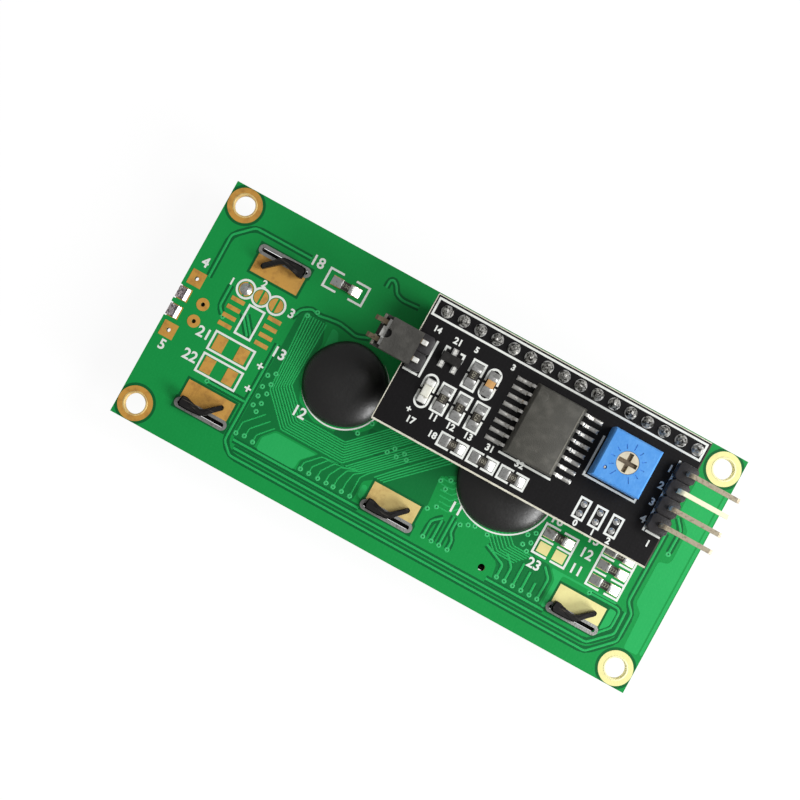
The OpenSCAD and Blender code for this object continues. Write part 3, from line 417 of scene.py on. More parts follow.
@dataclass(frozen=True)
class Enamel:
    """Stoved enamel on sheet steel, with streaky scuffs."""

    name: str
    colour: Colour = (0.012, 0.011, 0.011)
    worn: Colour = (0.10, 0.085, 0.07)
    scuff_scale: float = 1.6
    roughness: float = 0.36
    gloss: float = 0.25
    orange_peel: float = 0.01

    def build(self) -> bpy.types.Material:
        """Makes the material."""
        shader = Shader(self.name)
        scuffs = shader.noise(self.scuff_scale, 5.0, (0.4, 3, 1))
        return shader.dress(
            {"Base Color": shader.mix(scuffs.ramp(0.56, 0.8), self.colour, self.worn),
             "Roughness": scuffs * 0.2 + self.roughness, "Specular IOR Level": self.gloss},
            shader.noise(4.0, 3.0), self.orange_peel)


@dataclass(frozen=True)
class Clear:
    """Glass or clear plastic, drawn as a tinted sheet that lets light through."""

    name: str
    tint: Colour
    roughness: float = 0.06
    alpha: float = 0.35
    smear_scale: float = 0.2
    smear_shade: float = 0.92

    def build(self) -> bpy.types.Material:
        """Makes the material, with faint smears in its polish."""
        shader = Shader(self.name)
        smears = shader.noise(self.smear_scale, 3.0)
        return shader.dress(
            {"Base Color": shader.mix(smears, self.tint, shade(self.tint, self.smear_shade)),
             "Roughness": smears * 0.08 + self.roughness, "Alpha": self.alpha + smears * 0.04})


@dataclass(frozen=True)
class CellPolariser:
    """Front polariser, with the faint dots of two lines of characters."""

    name: str
    ground: Colour = (0.23, 0.30, 0.055)
    dot: Colour = (0.17, 0.235, 0.045)
    columns: int = 16
    rows: int = 2
    cell: Point = (3.55, 5.95)
    dots: tuple[int, int] = (5, 8)
    dot_pitch: Point = (0.60, 0.70)
    dot_share: float = 0.88
    middle_y: float = -0.5

    def inside(self, shader: Shader, axis: str, middle: float, count: int, cell: float,
               dots: int, pitch: float) -> Value:
        """Mask of the dots along one axis.

        Args:
            shader: The material.
            axis: The axis's name.
            middle: The display's middle on that axis.
            count: Characters along it.
            cell: Pitch of the characters.
            dots: Dots of one character.
            pitch: Pitch of the dots.

        Returns:
            One on a dot, and nought between dots, characters and outside.
        """
        along = shader.axis(axis) - (middle - count * cell / 2)
        local = along.wrapped(cell) - (cell - dots * pitch) / 2
        on_dot = local.wrapped(pitch) < self.dot_share * pitch
        return on_dot * (local > 0) * (local < dots * pitch) * (along > 0) * (along < count * cell)

    def build(self) -> bpy.types.Material:
        """Makes the material."""
        shader = Shader(self.name)
        mask = self.inside(shader, "X", 0.0, self.columns, self.cell[0], self.dots[0], self.dot_pitch[0])
        mask = mask * self.inside(
            shader, "Y", self.middle_y, self.rows, self.cell[1], self.dots[1], self.dot_pitch[1])
        ground = shader.mix(shader.noise(0.05, 2.0), self.ground, shade(self.ground, 1.12))
        return shader.dress(
            {"Base Color": shader.mix(mask, ground, self.dot), "Roughness": shader.noise(0.3) * 0.1 + 0.12,
             "Coat Weight": 0.6})


@dataclass(frozen=True)
class StripedRubber:
    """Rubber strip whose conducting layers alternate with plain ones."""

    name: str
    pitch: float = 0.18
    plain: Colour = (0.02, 0.02, 0.02)
    conducting: Colour = (0.10, 0.11, 0.12)

    def build(self) -> bpy.types.Material:
        """Makes the material."""
        shader = Shader(self.name)
        layer = shader.axis("X").wrapped(self.pitch) > self.pitch / 2
        return shader.dress(
            {"Base Color": shader.mix(layer, self.plain, self.conducting),
             "Roughness": shader.noise(2.0) * 0.2 + 0.6}, layer, 0.01)


class Finish(Enum):
    """Every finish of the module."""

    GREEN_MASK = SolderMask("green_mask", (0.008, 0.36, 0.075), (0.004, 0.27, 0.050))
    GREEN_GAP = SolderMask("green_gap", (0.001, 0.150, 0.036), (0.001, 0.112, 0.026))
    GREEN_FINE = SolderMask("green_fine", (0.003, 0.205, 0.045), (0.002, 0.155, 0.034))
    GREEN_TRACE = SolderMask("green_trace", (0.025, 0.47, 0.120), (0.014, 0.40, 0.095))
    # Paler copper for the mounting holes' plating and lips: a painted highlight
    COPPER_LIP = BareCopper("copper_lip", (0.86, 0.62, 0.24), (0.95, 0.90, 0.50))
    GREEN_RIM = SolderMask("green_rim", (0.070, 0.58, 0.20), (0.035, 0.47, 0.14))
    BLACK_MASK = SolderMask("black_mask", (0.0075, 0.0065, 0.0075), (0.0045, 0.004, 0.0045), (0.66, 0.60, 0.42))
    COPPER = BareCopper("bare_copper")
    SOLDER = Tin("solder")
    LEAD_TIN = Tin("tinned_leads", (0.78, 0.77, 0.73), (0.34, 0.31, 0.27), 0.24, 0.008)
    JOINT = Tin("dull_joint", (0.74, 0.73, 0.69), (0.02, 0.019, 0.017), 0.22, 0.14, 0.8, 2.6, (0.42, 0.60))
    BRIGHT_TIN = Tin("bright_tin", (0.90, 0.90, 0.86), (0.42, 0.40, 0.35), 0.3, 0.02, 0.25)
    LAMP_TIN = Tin("lamp_tin", (0.46, 0.41, 0.41), (0.10, 0.08, 0.085), 0.42, 0.16, 0.75, 2.4, (0.40, 0.66))
    PRINT = Ink("white_print")
    PIN_ROW = PinRow("pin_row")
    PIN_DARK = Tin("pin_dark", (0.22, 0.17, 0.11), (0.045, 0.04, 0.035), 0.4, 0.01, 0.7)
    RIM = Tin("slot_rim", (0.50, 0.50, 0.48), (0.20, 0.19, 0.18), 0.3, 0.02)
    ENAMEL = Enamel("black_enamel")
    RESIN = Moulding("black_resin", (0.0050, 0.0045, 0.0042), (0.0080, 0.0070, 0.0065), 0.40, 2.4, 0.02, 0.8)
    CHIP_RESIN = Moulding("chip_resin", (0.060, 0.058, 0.049), (0.125, 0.120, 0.103), 0.5, 8.0, 0.05)
    CHIP_MARK = Moulding("chip_mark", (0.40, 0.38, 0.30), (0.30, 0.28, 0.22), 0.5, 5.0, 0.01)
    BLACK_PLASTIC = Moulding("black_plastic", (0.010, 0.0095, 0.009), (0.032, 0.030, 0.028), 0.45, 4.0, 0.02)
    GREY_PLASTIC = Moulding("grey_plastic", (0.050, 0.048, 0.043), (0.098, 0.094, 0.084), 0.5, 4.0, 0.04)
    BLUE_PLASTIC = Moulding("blue_plastic", (0.070, 0.30, 0.77), (0.13, 0.40, 0.86), 0.42, 3.0, 0.03)
    CREAM_PLASTIC = Moulding("cream_plastic", (0.78, 0.72, 0.56), (0.52, 0.45, 0.33), 0.45, 3.0, 0.015)
    # Darker brown for the floor of the rotor's cross: painted shade in the recess
    ROTOR_SLOT = Moulding("rotor_slot", (0.20, 0.155, 0.105), (0.11, 0.085, 0.06), 0.5, 4.0, 0.03)
    CAP_EDGE = Moulding("cap_edge", (0.24, 0.23, 0.19), (0.15, 0.14, 0.12), 0.5, 4.0, 0.03)
    HEADER_PLASTIC = Moulding("header_plastic", (0.030, 0.028, 0.030), (0.052, 0.049, 0.052), 0.4, 4.0, 0.03)
    WHITE_PLASTIC = Moulding("white_plastic", (0.82, 0.82, 0.80), (0.74, 0.74, 0.71), 0.5)
    ALUMINA = Moulding("alumina", (0.62, 0.60, 0.55), (0.50, 0.47, 0.42), 0.55)
    RESISTOR_COAT = Moulding("resistor_coat", (0.030, 0.027, 0.022), (0.075, 0.066, 0.052), 0.35)
    TAN_CERAMIC = Moulding("tan_ceramic", (0.62, 0.33, 0.11), (0.74, 0.46, 0.20), 0.5)
    LAMINATE = Moulding("laminate_edge", (0.80, 0.78, 0.66), (0.52, 0.48, 0.36), 0.6)
    LAMP_LENS = Moulding("lamp_lens", (0.88, 0.88, 0.80), (0.74, 0.73, 0.60), 0.18)
    GLASS = Clear("display_glass", (0.80, 0.86, 0.74))
    ACRYLIC = Clear("clear_acrylic", (0.90, 0.95, 0.95), 0.1, 0.5)
    POLARISER = CellPolariser("front_polariser")
    REAR_POLARISER = Moulding("rear_polariser", (0.30, 0.38, 0.10), (0.36, 0.44, 0.14), 0.3)
    RUBBER = StripedRubber("striped_rubber")

    def material(self) -> bpy.types.Material:
        """The finish's material, made the first time it is asked for."""
        if self.value.name + "_finish" not in bpy.data.materials:
            self.value.build().name = self.value.name + "_finish"
        return bpy.data.materials[self.value.name + "_finish"]


# ---------------------------------------------------------------- modelling


def alone(piece: Piece | None = None) -> None:
    """Selects one piece and nothing else.

    Args:
        piece: The piece, which becomes the active one.
    """
    bpy.ops.object.select_all(action="DESELECT")
    if piece is not None:
        piece.select_set(True)
        bpy.context.view_layer.objects.active = piece


@contextmanager
def editing(piece: Piece, kind: str = "FACE") -> Iterator[bmesh.types.BMesh]:
    """Opens a piece for editing with nothing in it selected.

    Args:
        piece: The piece.
        kind: What is selected by the operators: VERT, EDGE or FACE.

    Yields:
        The open mesh, for picking its faces and edges by place.
    """
    alone(piece)
    bpy.ops.object.mode_set(mode="EDIT")
    bpy.ops.mesh.select_mode(type=kind)
    bpy.ops.mesh.select_all(action="DESELECT")
    yield bmesh.from_edit_mesh(piece.data)
    bpy.ops.object.mode_set(mode="OBJECT")


def pick(piece: Piece, items: str, test: Callable[[object], bool]) -> None:
    """Selects faces, edges or corners of an open piece.

    Args:
        piece: The piece being edited.
        items: Which kind: faces, edges or verts.
        test: Says whether one of them is wanted.
    """
    bpy.ops.mesh.select_all(action="DESELECT")
    mesh = bmesh.from_edit_mesh(piece.data)
    for item in getattr(mesh, items):
        if test(item):
            item.select_set(True)
    bmesh.update_edit_mesh(piece.data)


def settle(piece: Piece, at: Sequence[float] = (0, 0, 0), turn: float = 0.0) -> Piece:
    """Moves and turns a piece, and keeps its place in its mesh.

    Args:
        piece: The piece.
        at: How far it is moved, in millimetres.
        turn: Angle about the vertical, in degrees.

    Returns:
        The piece.
    """
    alone(piece)
    place = Matrix.Translation(Vector(at) * MM) @ Matrix.Rotation(math.radians(turn), 4, "Z")
    piece.matrix_world = place @ piece.matrix_world
    bpy.ops.object.transform_apply(location=True, rotation=True, scale=True)
    return piece


def block(low: Sequence[float], high: Sequence[float]) -> Piece:
    """Adds a block as the start of a piece.

    Args:
        low: Lowest corner in millimetres.
        high: Highest corner in millimetres.

    Returns:
        The block.
    """
    alone()
    low, high = Vector(low) * MM, Vector(high) * MM
    bpy.ops.mesh.primitive_cube_add(size=1, location=(low + high) / 2, scale=high - low)
    return settle(bpy.context.object)


def turned(profile: Run, steps: int = 32) -> Piece:
    """Draws a line corner by corner and spins it about the vertical.

    Args:
        profile: Distances from the axis and heights in millimetres, from the top outwards and down.
        steps: Faces round the piece.

    Returns:
        The piece, closed below.
    """
    alone()
    bpy.ops.mesh.primitive_plane_add(size=MM, location=Vector((profile[0][0], 0, profile[0][1])) * MM)
    piece = settle(bpy.context.object)
    with editing(piece, "VERT"):
        bpy.ops.mesh.select_all(action="SELECT")
        bpy.ops.mesh.merge(type="CENTER")
        for (r0, z0), (r1, z1) in zip(profile, profile[1:]):
            bpy.ops.mesh.extrude_region_move(
                TRANSFORM_OT_translate={"value": ((r1 - r0) * MM, 0, (z1 - z0) * MM)})
        bpy.ops.mesh.select_all(action="SELECT")
        bpy.ops.mesh.spin(steps=steps, angle=math.tau, center=(0, 0, 0), axis=(0, 0, 1))
        bpy.ops.mesh.select_all(action="SELECT")
        bpy.ops.mesh.remove_doubles(threshold=1e-6)
        bpy.ops.mesh.normals_make_consistent(inside=False)
    return piece


def bevelled(piece: Piece, width: float, segments: int = 2, angle: float = 30.0) -> Piece:
    """Rounds a piece's sharp edges.

    Args:
        piece: The piece.
        width: Width of the rounding in millimetres.
        segments: Faces across the rounding.
        angle: Edges sharper than this many degrees are rounded.

    Returns:
        The piece.
    """
    alone(piece)
    rounding = piece.modifiers.new("rounding", "BEVEL")
    rounding.width = width * MM
    rounding.segments = segments
    rounding.limit_method = "ANGLE"
    rounding.angle_limit = math.radians(angle)
    bpy.ops.object.modifier_apply(modifier=rounding.name)
    return smoothed(piece)


def smoothed(piece: Piece, angle: float = 40.0) -> Piece:
    """Shades a piece smooth apart from its sharp edges.

    Args:
        piece: The piece.
        angle: Edges sharper than this many degrees stay sharp.

    Returns:
        The piece.
    """
    alone(piece)
    bpy.ops.object.shade_smooth_by_angle(angle=math.radians(angle))
    return piece


def copied(piece: Piece, at: Sequence[float], turn: float = 0.0) -> Piece:
    """Copies a piece with its mesh.

    Args:
        piece: The piece to copy.
        at: How far the copy is moved, in millimetres.
        turn: The copy's angle about the vertical, in degrees.

    Returns:
        The copy.
    """
    alone(piece)
    bpy.ops.object.duplicate(linked=False)
    return settle(bpy.context.object, at, turn)


def joined(parts: Sequence[Piece]) -> Piece:
    """Joins parts into one piece.

    Args:
        parts: The parts.

    Returns:
        The piece.
    """
    alone(parts[0])
    for part in parts:
        part.select_set(True)
    if len(parts) > 1:
        bpy.ops.object.join()
    return bpy.context.object


def coat(piece: Piece, *finishes: Finish) -> Piece:
    """Gives a piece its finishes, the first one all over unless its faces say otherwise.

    Args:
        piece: The piece.
        finishes: The finishes, in the order of the faces' numbers.

    Returns:
        The piece.
    """
    numbers = [face.material_index for face in piece.data.polygons]
    piece.data.materials.clear()
    for finish in finishes:
        piece.data.materials.append(finish.material())
    if any(numbers):
        piece.data.polygons.foreach_set("material_index", numbers)
    return piece


def hand_over(piece: Piece, name: str, slot: str, *finishes: Finish, body: str = "root",
              stands_for: Sequence[str] = ()) -> None:
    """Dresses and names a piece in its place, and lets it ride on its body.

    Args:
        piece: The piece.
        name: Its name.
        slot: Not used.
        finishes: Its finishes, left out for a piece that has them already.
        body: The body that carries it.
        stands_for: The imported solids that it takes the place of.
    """
    if finishes:
        coat(piece, *finishes)
    piece.name = piece.data.name = name
    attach(piece, body)
    if stands_for:
        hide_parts(*stands_for)
    LOG.info("%s: %d faces", name, len(piece.data.polygons))


def repeated(first: Piece, places: Iterable[tuple[Sequence[float], float]]) -> Piece:
    """Copies a piece to every place, removes it and joins the copies.

    Args:
        first: The piece to copy.
        places: How far each copy is moved, in millimetres, and its angle in degrees.

    Returns:
        The copies as one piece.
    """
    copies = [copied(first, at, turn) for at, turn in places]
    bpy.data.objects.remove(first)
    return joined(copies)


def cut_corners(piece: Piece, width: float, segments: int) -> None:
    """Bevels the upright edges of a block.

    Args:
        piece: The block.
        width: Width of the bevel in millimetres.
        segments: Faces across the bevel.
    """
    with editing(piece, "EDGE"):
        pick(piece, "edges", lambda edge: abs(edge.verts[0].co.z - edge.verts[1].co.z) > 0.1 * MM)
        bpy.ops.mesh.bevel(offset=width * MM, segments=segments)


def figures(text: str, size: float, thickness: float, fineness: int, bold: float = 0.0) -> Piece:
    """Sets a number as a thin mesh about the origin.

    Args:
        text: The number.
        size: Size of the type in millimetres.
        thickness: Thickness of the mesh in millimetres.
        fineness: Steps along a curve of the type.
        bold: How far the strokes are widened, in millimetres.

    Returns:
        The number.
    """
    alone()
    bpy.ops.object.text_add()
    made = bpy.context.object
    made.data.body = text
    made.data.size = size * MM
    made.data.align_x = made.data.align_y = "CENTER"
    made.data.resolution_u = fineness
    made.data.offset = bold * MM
    made.data.extrude = thickness / 2 * MM
    bpy.ops.object.convert(target="MESH")
    return bpy.context.object


@dataclass(frozen=True)
class Drawing:
    """Lines and plates drawn on a board, at places counted from its left edge and its header edge."""

    left: float
    top: float
    level: float

    def at(self, x: float, y: float, lift: float = 0.0) -> tuple[float, float, float]:
        """A place on the board in the common frame, in millimetres."""
        return (self.left + x, self.top - y, self.level + lift)

    def curve(self, runs: Iterable[Run], closed: bool) -> Piece:
        """Draws straight-sided runs as one curve.

        Args:
            runs: The corners of each run.
            closed: Whether a run returns to its start.

        Returns:
            The curve object.
        """
        alone()
        bpy.ops.curve.primitive_bezier_curve_add()
        drawn = bpy.context.object
        drawn.data.splines.clear()
        for run in runs:
            spline = drawn.data.splines.new("POLY")
            spline.points.add(len(run) - 1)
            for point, (x, y) in zip(spline.points, run):
                point.co = (*(MM * part for part in self.at(x, y)), 1)
            spline.use_cyclic_u = closed
        return drawn

    def ribbons(self, runs: Iterable[Run], width: float, height: float) -> Piece:
        """Rounded low ridges along runs.

        Args:
            runs: The corners of each run.
            width: Width of a ridge in millimetres.
            height: Height of its crown in millimetres.

        Returns:
            The ridges as one mesh.
        """
        drawn = self.curve([softened(run, width) for run in runs], False)
        drawn.data.dimensions = "3D"
        drawn.data.bevel_depth = width / 2 * MM
        drawn.data.bevel_resolution = 1
        drawn.data.use_fill_caps = True
        alone(drawn)
        bpy.ops.object.convert(target="MESH")
        ridge = bpy.context.object
        with editing(ridge):
            bpy.ops.mesh.select_all(action="SELECT")
            flat = (1, 1, 2 * height / width)
            bpy.ops.transform.resize(value=flat, center_override=(0, 0, self.level * MM))
        return smoothed(settle(ridge), 80)

    def plates(self, outlines: Iterable[Run], height: float, rounding: float = 0.35) -> Piece:
        """Thin plates with rounded corners.

        Args:
            outlines: The corners of each plate.
            height: Height of its upper face in millimetres.
            rounding: Length cut off at each corner, in millimetres.

        Returns:
            The plates as one mesh.
        """
        drawn = self.curve([softened([*run, run[0], run[1]], rounding)[1:-1] for run in outlines], True)
        drawn.data.dimensions = "2D"
        drawn.data.fill_mode = "BOTH"
        drawn.data.extrude = height * MM
        drawn.location.z = self.level * MM
        alone(drawn)
        bpy.ops.object.convert(target="MESH")
        return settle(bpy.context.object)


def softened(run: Run, cut: float) -> list[Point]:
    """Cuts the corners of a run in two short steps.

    Args:
        run: The corners.
        cut: Length cut off on each side of a corner.

    Returns:
        The run with more corners and blunter ones.
    """
    points = [Vector(point) for point in run]
    soft = [points[0]]
    for before, here, after in zip(points, points[1:], points[2:]):
        back, on = before - here, after - here
        start = here + back.normalized() * min(cut, back.length * 0.45)
        end = here + on.normalized() * min(cut, on.length * 0.45)
        soft += [start, (start + end + 2 * here) / 4, end]
    return [tuple(point) for point in (*soft, points[-1])]


def spread(first: Run, last: Run, count: int) -> list[list[Point]]:
    """Runs evenly spread between two like ones.

    Args:
        first: The first run.
        last: The last run, of as many corners.
        count: How many runs there are.

    Returns:
        The runs.
    """
    shares = [step / (count - 1) for step in range(count)]
    return [[(x + (to_x - x) * share, y + (to_y - y) * share) for (x, y), (to_x, to_y) in zip(first, last)]
            for share in shares]


MAIN = Drawing(-40.0, 18.0, 8.6)
PACK = Drawing(-40.0, 18.0, 15.7)
BENCH = Drawing(0.0, 0.0, 0.0)
MOUNT_HOLES = [(x, y) for x in (2.5, 77.5) for y in (2.5, 33.5)]
TAB_SLOTS = [((x, y), side) for x in (11, 40, 69) for y, side in ((6.55, 1.0), (30.45, -1.0))]


@dataclass(frozen=True)
class Label:
    """A printed number."""

    text: str
    x: float
    y: float
    tall: float


# ---------------------------------------------------------------- sub-assemblies


@dataclass
class TrackPattern:
    """Copper under the green lacquer: single tracks, bundles, plain areas and plated holes, with a painted
    highlight along the board's right edge.
    """

    track_width: float = 0.36
    fine_width: float = 0.2
    gap_width: float = 0.95
    crown: float = 0.022
    fine_crown: float = 0.0176
    gap_lift: float = 0.005
    fine_lift: float = 0.0025
    dark_lift: float = 0.004
    area_lift: float = 0.012
    via_hole: float = 0.12
    via_steps: int = 14
    via_profile: Run = ((0, 0.002), (0.12, 0.003), (0.16, 0.033), (0.29, 0.033), (0.36, 0.004), (0.36, -0.01))
    tracks: Sequence[Run] = (
        [(2.9, 13.5), (2.85, 6.9), (5.35, 4.47), (14, 4.47)],
        [(6.15, 13), (6.15, 16.2), (7, 17.1)],
        [(24.9, 3.0), (24.9, 1.8), (25.5, 1.6), (26.1, 2.2), (26.6, 3.1), (27.7, 3.5), (30.2, 3.3)],
        [(15.5, 12.9), (16.2, 11.3), (17.5, 10.5), (18.7, 10.9), (20.1, 10.6), (21.8, 10.4), (23.5, 10.7),
         (24.5, 10.9), (26.3, 10.2)],
        [(15.65, 17), (15.65, 32), (17.2, 33.5), (72.6, 33.5), (75.9, 30.2), (75.9, 26),
         (74.7, 24.7), (74.75, 14)],
        [(17.2, 32.35), (72.2, 32.35), (75.1, 29.5), (75.05, 26.2)],
        [(16.6, 31.35), (36.1, 31.35)],
        [(56, 31.35), (65, 31.35)],
        [(69.5, 26.2), (73.9, 26.2), (74.3, 26.6), (74.3, 29), (72.5, 31)],
        [(75.2, 11.4), (76.4, 12.8), (76.35, 16.2)],
        [(9.8, 26.1), (15.5, 26.1)],
        [(45.7, 30.4), (45.7, 28), (47, 26.9)],
        [(47, 30.4), (47, 27.2)],
        [(48.2, 30.4), (48.2, 26)],
        [(49.5, 30.4), (49.5, 29), (48.8, 28.2), (48.8, 26.5)],
        [(57.2, 30.4), (57.2, 28.6), (54, 27.2)],
        [(58.4, 30.4), (58.4, 28.3), (57, 26.9)],
        [(59.7, 30.4), (59.7, 27)],
        [(61, 30.4), (61, 27.6)],
        [(62.3, 30.4), (62.3, 28.6)],
        [(63.5, 30.4), (63.6, 27.3), (62.4, 26)],
        [(10, 15.5), (12, 18)],
        [(9.4, 15.6), (11.4, 18.1)],
    )
    bundles: Sequence[tuple[Run, Run, int]] = (
        ([(20.2, 11.4), (20.0, 21.0), (23.4, 24.3), (30.2, 24.3), (35.2, 19.3)],
         [(17.0, 11.4), (17.7, 22.9), (21.7, 27.0), (31.2, 27.0), (38.9, 19.3)], 9),
        ([(26.6, 30.45), (26.6, 29.5), (28.4, 27.6), (31.7, 27.3), (39.6, 19.3)],
         [(34.3, 30.45), (34.3, 29.0), (34.3, 27.6), (35.0, 26.6), (42.4, 19.3)], 7),
        ([(36.0, 26.6), (37.6, 24.9), (43.2, 19.3)], [(37.4, 26.6), (39.0, 25.0), (44.9, 19.3)], 4),
        ([(16.6, 30.4), (16.6, 28.7), (18.9, 26.2)], [(19.1, 30.4), (19.1, 29.3), (20.9, 27.3)], 3),
        ([(55.0, 23.4), (57.2, 25.6), (60.3, 25.6)], [(53.4, 25.8), (55.2, 27.6), (58.4, 27.6)], 7),
        ([(44.2, 22.2), (45.9, 22.2), (46.6, 21.4)], [(45.6, 25.9), (47.2, 25.9), (48.6, 24.4)], 6),
    )
    fine_areas: Sequence[Run] = (
        [(16.2, 11), (19.6, 10.4), (21, 14), (20.4, 19), (22, 22.4), (25, 24), (30, 23.6), (32.5, 21), (33, 19),
         (46, 19), (46, 21), (43.9, 22), (44.3, 26.8), (36.3, 26.8), (34.9, 27.8), (34.9, 30.95), (26.1, 30.95),
         (26.1, 29.4), (27.9, 27.45), (21.2, 27.45), (19.7, 29.2), (19.6, 30.95), (16.2, 30.95)],
        [(44.4, 21.6), (46.5, 21.6), (49.4, 26.2), (50, 28), (50, 30.95), (45.2, 30.95), (44.6, 28)],
        [(56.2, 24.6), (58, 22), (60.4, 22), (60.4, 25.5), (62.8, 25.5), (64.1, 27), (64.1, 30.95),
         (56.7, 30.95), (56.4, 29), (53.6, 26.2)],
    )
    dark_areas: Sequence[Run] = (
        [(28.2, 23.2), (29.8, 22.6), (31.2, 22.3), (31.4, 23.2), (30.4, 24.15), (28.2, 24.15)],
        [(32.3, 20.9), (35.7, 20.9), (35.9, 22.2), (39.2, 21.3), (39.4, 22.9), (35.9, 24.0), (32.6, 24.0)],
    )
    pale_areas: Sequence[Run] = (
        [(20, 31.0), (19.9, 29.2), (21.3, 27.7), (27.6, 27.7), (25.9, 29.4), (25.8, 31.0)],
        [(64.4, 31.0), (64.4, 27), (63.2, 25.65), (73.4, 25.65), (73.4, 25.9), (65.1, 25.95), (65.0, 31.0)],
        # Pale strip along the board's right edge: a painted highlight on the edge, not copper
        [(79.42, 5.6), (79.85, 5.6), (79.85, 30.4), (79.42, 30.4)],
        [(75.0, 5.5), (79.2, 5.5), (79.2, 30.6), (77.1, 30.6), (76.9, 25.4), (75.7, 24.3), (75.7, 17.9),
         (77.0, 17.6), (77.3, 16.8), (77.2, 12.4), (75.0, 10.3)],
        [(35.1, 28.1), (35.9, 28.1), (35.9, 30.2), (35.1, 29.8)],
        [(72.9, 26.7), (74.0, 26.7), (74.0, 28.9), (72.9, 30.1)],
        [(21.2, 11.4), (22.2, 11.6), (22.8, 13), (21.4, 15)],
    )
    vias: Run = (
        (17.4, 20.7), (16.5, 21.4), (17.5, 22.3), (16.6, 23.1), (17.6, 23.7), (16.7, 24.5), (17.6, 25.2),
        (16.7, 25.9), (17.5, 26.5), (16.5, 30.4), (17.7, 30.2), (19.1, 30.4), (32.2, 20.3), (31.1, 22.4),
        (35.9, 22.7), (36.6, 21.8), (37.3, 22.7), (38.1, 21.8), (38.7, 22.4), (45.4, 21.9), (44.2, 22.6),
        (45.3, 23.3), (44.4, 26.8), (45.4, 26), (49.4, 26.6), (50.4, 26.1), (51.3, 25.8), (53.3, 26),
        (59.1, 22.6), (58.2, 23.3), (59.1, 24.1), (58.2, 24.8), (59.1, 25.4), (17.3, 11.6), (18.3, 10.6),
        *((x, 30.45) for x in (26.6, 27.9, 29.3, 30.6, 31.7, 33, 34.3, 45.7, 47, 48.2, 49.5, 57.2, 58.4, 59.7,
                               61, 62.3, 63.5)),
        (76.35, 16.4), (7.2, 17.3), (9.6, 26.1), (69.4, 26.2),
    )

    def build(self) -> None:
        """Makes the tracks, the strips beside them, the areas and the plated holes."""
        fine = [run for first, last, count in self.bundles for run in spread(first, last, count)]
        for piece, name, finish in (
                (MAIN.ribbons(self.tracks, self.gap_width, self.gap_lift), "track_gaps", Finish.GREEN_GAP),
                (MAIN.plates(self.fine_areas, self.fine_lift), "driver_areas", Finish.GREEN_FINE),
                (MAIN.plates(self.dark_areas, self.dark_lift), "bare_areas", Finish.GREEN_GAP),
                (MAIN.ribbons(self.tracks, self.track_width, self.crown), "board_tracks", Finish.GREEN_TRACE),
                (MAIN.ribbons(fine, self.fine_width, self.fine_crown), "driver_tracks", Finish.GREEN_TRACE),
                (MAIN.plates(self.pale_areas, self.area_lift), "copper_areas", Finish.GREEN_TRACE)):
            hand_over(piece, name, "green_board", finish)
        hand_over(self.plated_holes(), "plated_holes", "green_board")

    def plated_holes(self) -> Piece:
        """Makes one lacquered hole rim and copies it to every place.

        Returns:
            All the rims.
        """
        first = turned(self.via_profile, self.via_steps)
        for face in first.data.polygons:
            face.material_index = int(face.center.to_2d().length < self.via_hole * MM)
        coat(smoothed(first, 60), Finish.GREEN_RIM, Finish.GREEN_GAP)
        return repeated(first, [(MAIN.at(*place), 0.0) for place in self.vias])


@dataclass
class PrintedNumbers:
    """White numbers beside the parts of both boards."""

    thickness: float = 0.022
    bold: float = 0.05
    cap_share: float = 0.71
    fineness: int = 3
    main: Sequence[Label] = (
        Label("4", 1.6, 12.0, 1.4), Label("5", 1.8, 24.7, 1.4), Label("18", 15.0, 4.5, 1.5),
        Label("1", 6.0, 12.5, 1.0), Label("2", 10.1, 10.7, 1.0), Label("3", 15.3, 12.5, 1.3),
        Label("13", 16.4, 18.1, 1.5), Label("21", 6.1, 20.6, 1.5), Label("22", 5.9, 24.2, 1.5),
        Label("+", 15.0, 20.9, 1.3), Label("+", 15.0, 24.4, 1.3), Label("12", 22.7, 23.8, 1.5),
        Label("11", 47.9, 25.0, 1.5), Label("16", 60.8, 19.6, 1.4), Label("13", 66.5, 19.6, 1.3),
        Label("12", 66.5, 21.8, 1.4), Label("11", 66.3, 24.4, 1.4), Label("23", 60.9, 26.5, 1.4),
    )
    pack: Sequence[Label] = (
        Label("14", 33.9, 5.2, 0.8), Label("21", 37.1, 5.35, 0.9), Label("5", 39.8, 5.1, 0.8),
        Label("3", 45.2, 4.8, 0.8), Label("11", 39.0, 15.75, 0.9), Label("12", 41.6, 15.75, 0.9),
        Label("13", 44.3, 15.75, 0.9), Label("+", 35.6, 16.35, 0.9), Label("17", 36.5, 17.5, 0.9),
        Label("18", 40.0, 17.85, 0.9), Label("31", 47.6, 15.75, 0.9), Label("32", 52.1, 15.75, 0.9),
        Label("0", 62.3, 18.95, 0.85), Label("1", 64.9, 18.95, 0.85), Label("2", 67.3, 18.95, 0.85),
        Label("1", 70.0, 6.5, 1.0), Label("2", 70.0, 9.05, 1.0), Label("3", 70.0, 11.55, 1.0),
        Label("4", 70.0, 14.1, 1.0), Label("1", 72.1, 16.7, 0.9),
    )

    def build(self) -> None:
        """Makes the numbers of both boards."""
        for name, board, labels in (("main_board_numbers", MAIN, self.main),
                                    ("interface_numbers", PACK, self.pack)):
            made = joined([self.number(board, label) for label in labels])
            hand_over(made, name, "white_print", Finish.PRINT)

    def number(self, board: Drawing, label: Label) -> Piece:
        """One number as a mesh, in place on its board."""
        made = figures(label.text, label.tall / self.cap_share, self.thickness, self.fineness, self.bold)
        return settle(made, board.at(label.x, label.y, self.thickness / 2))


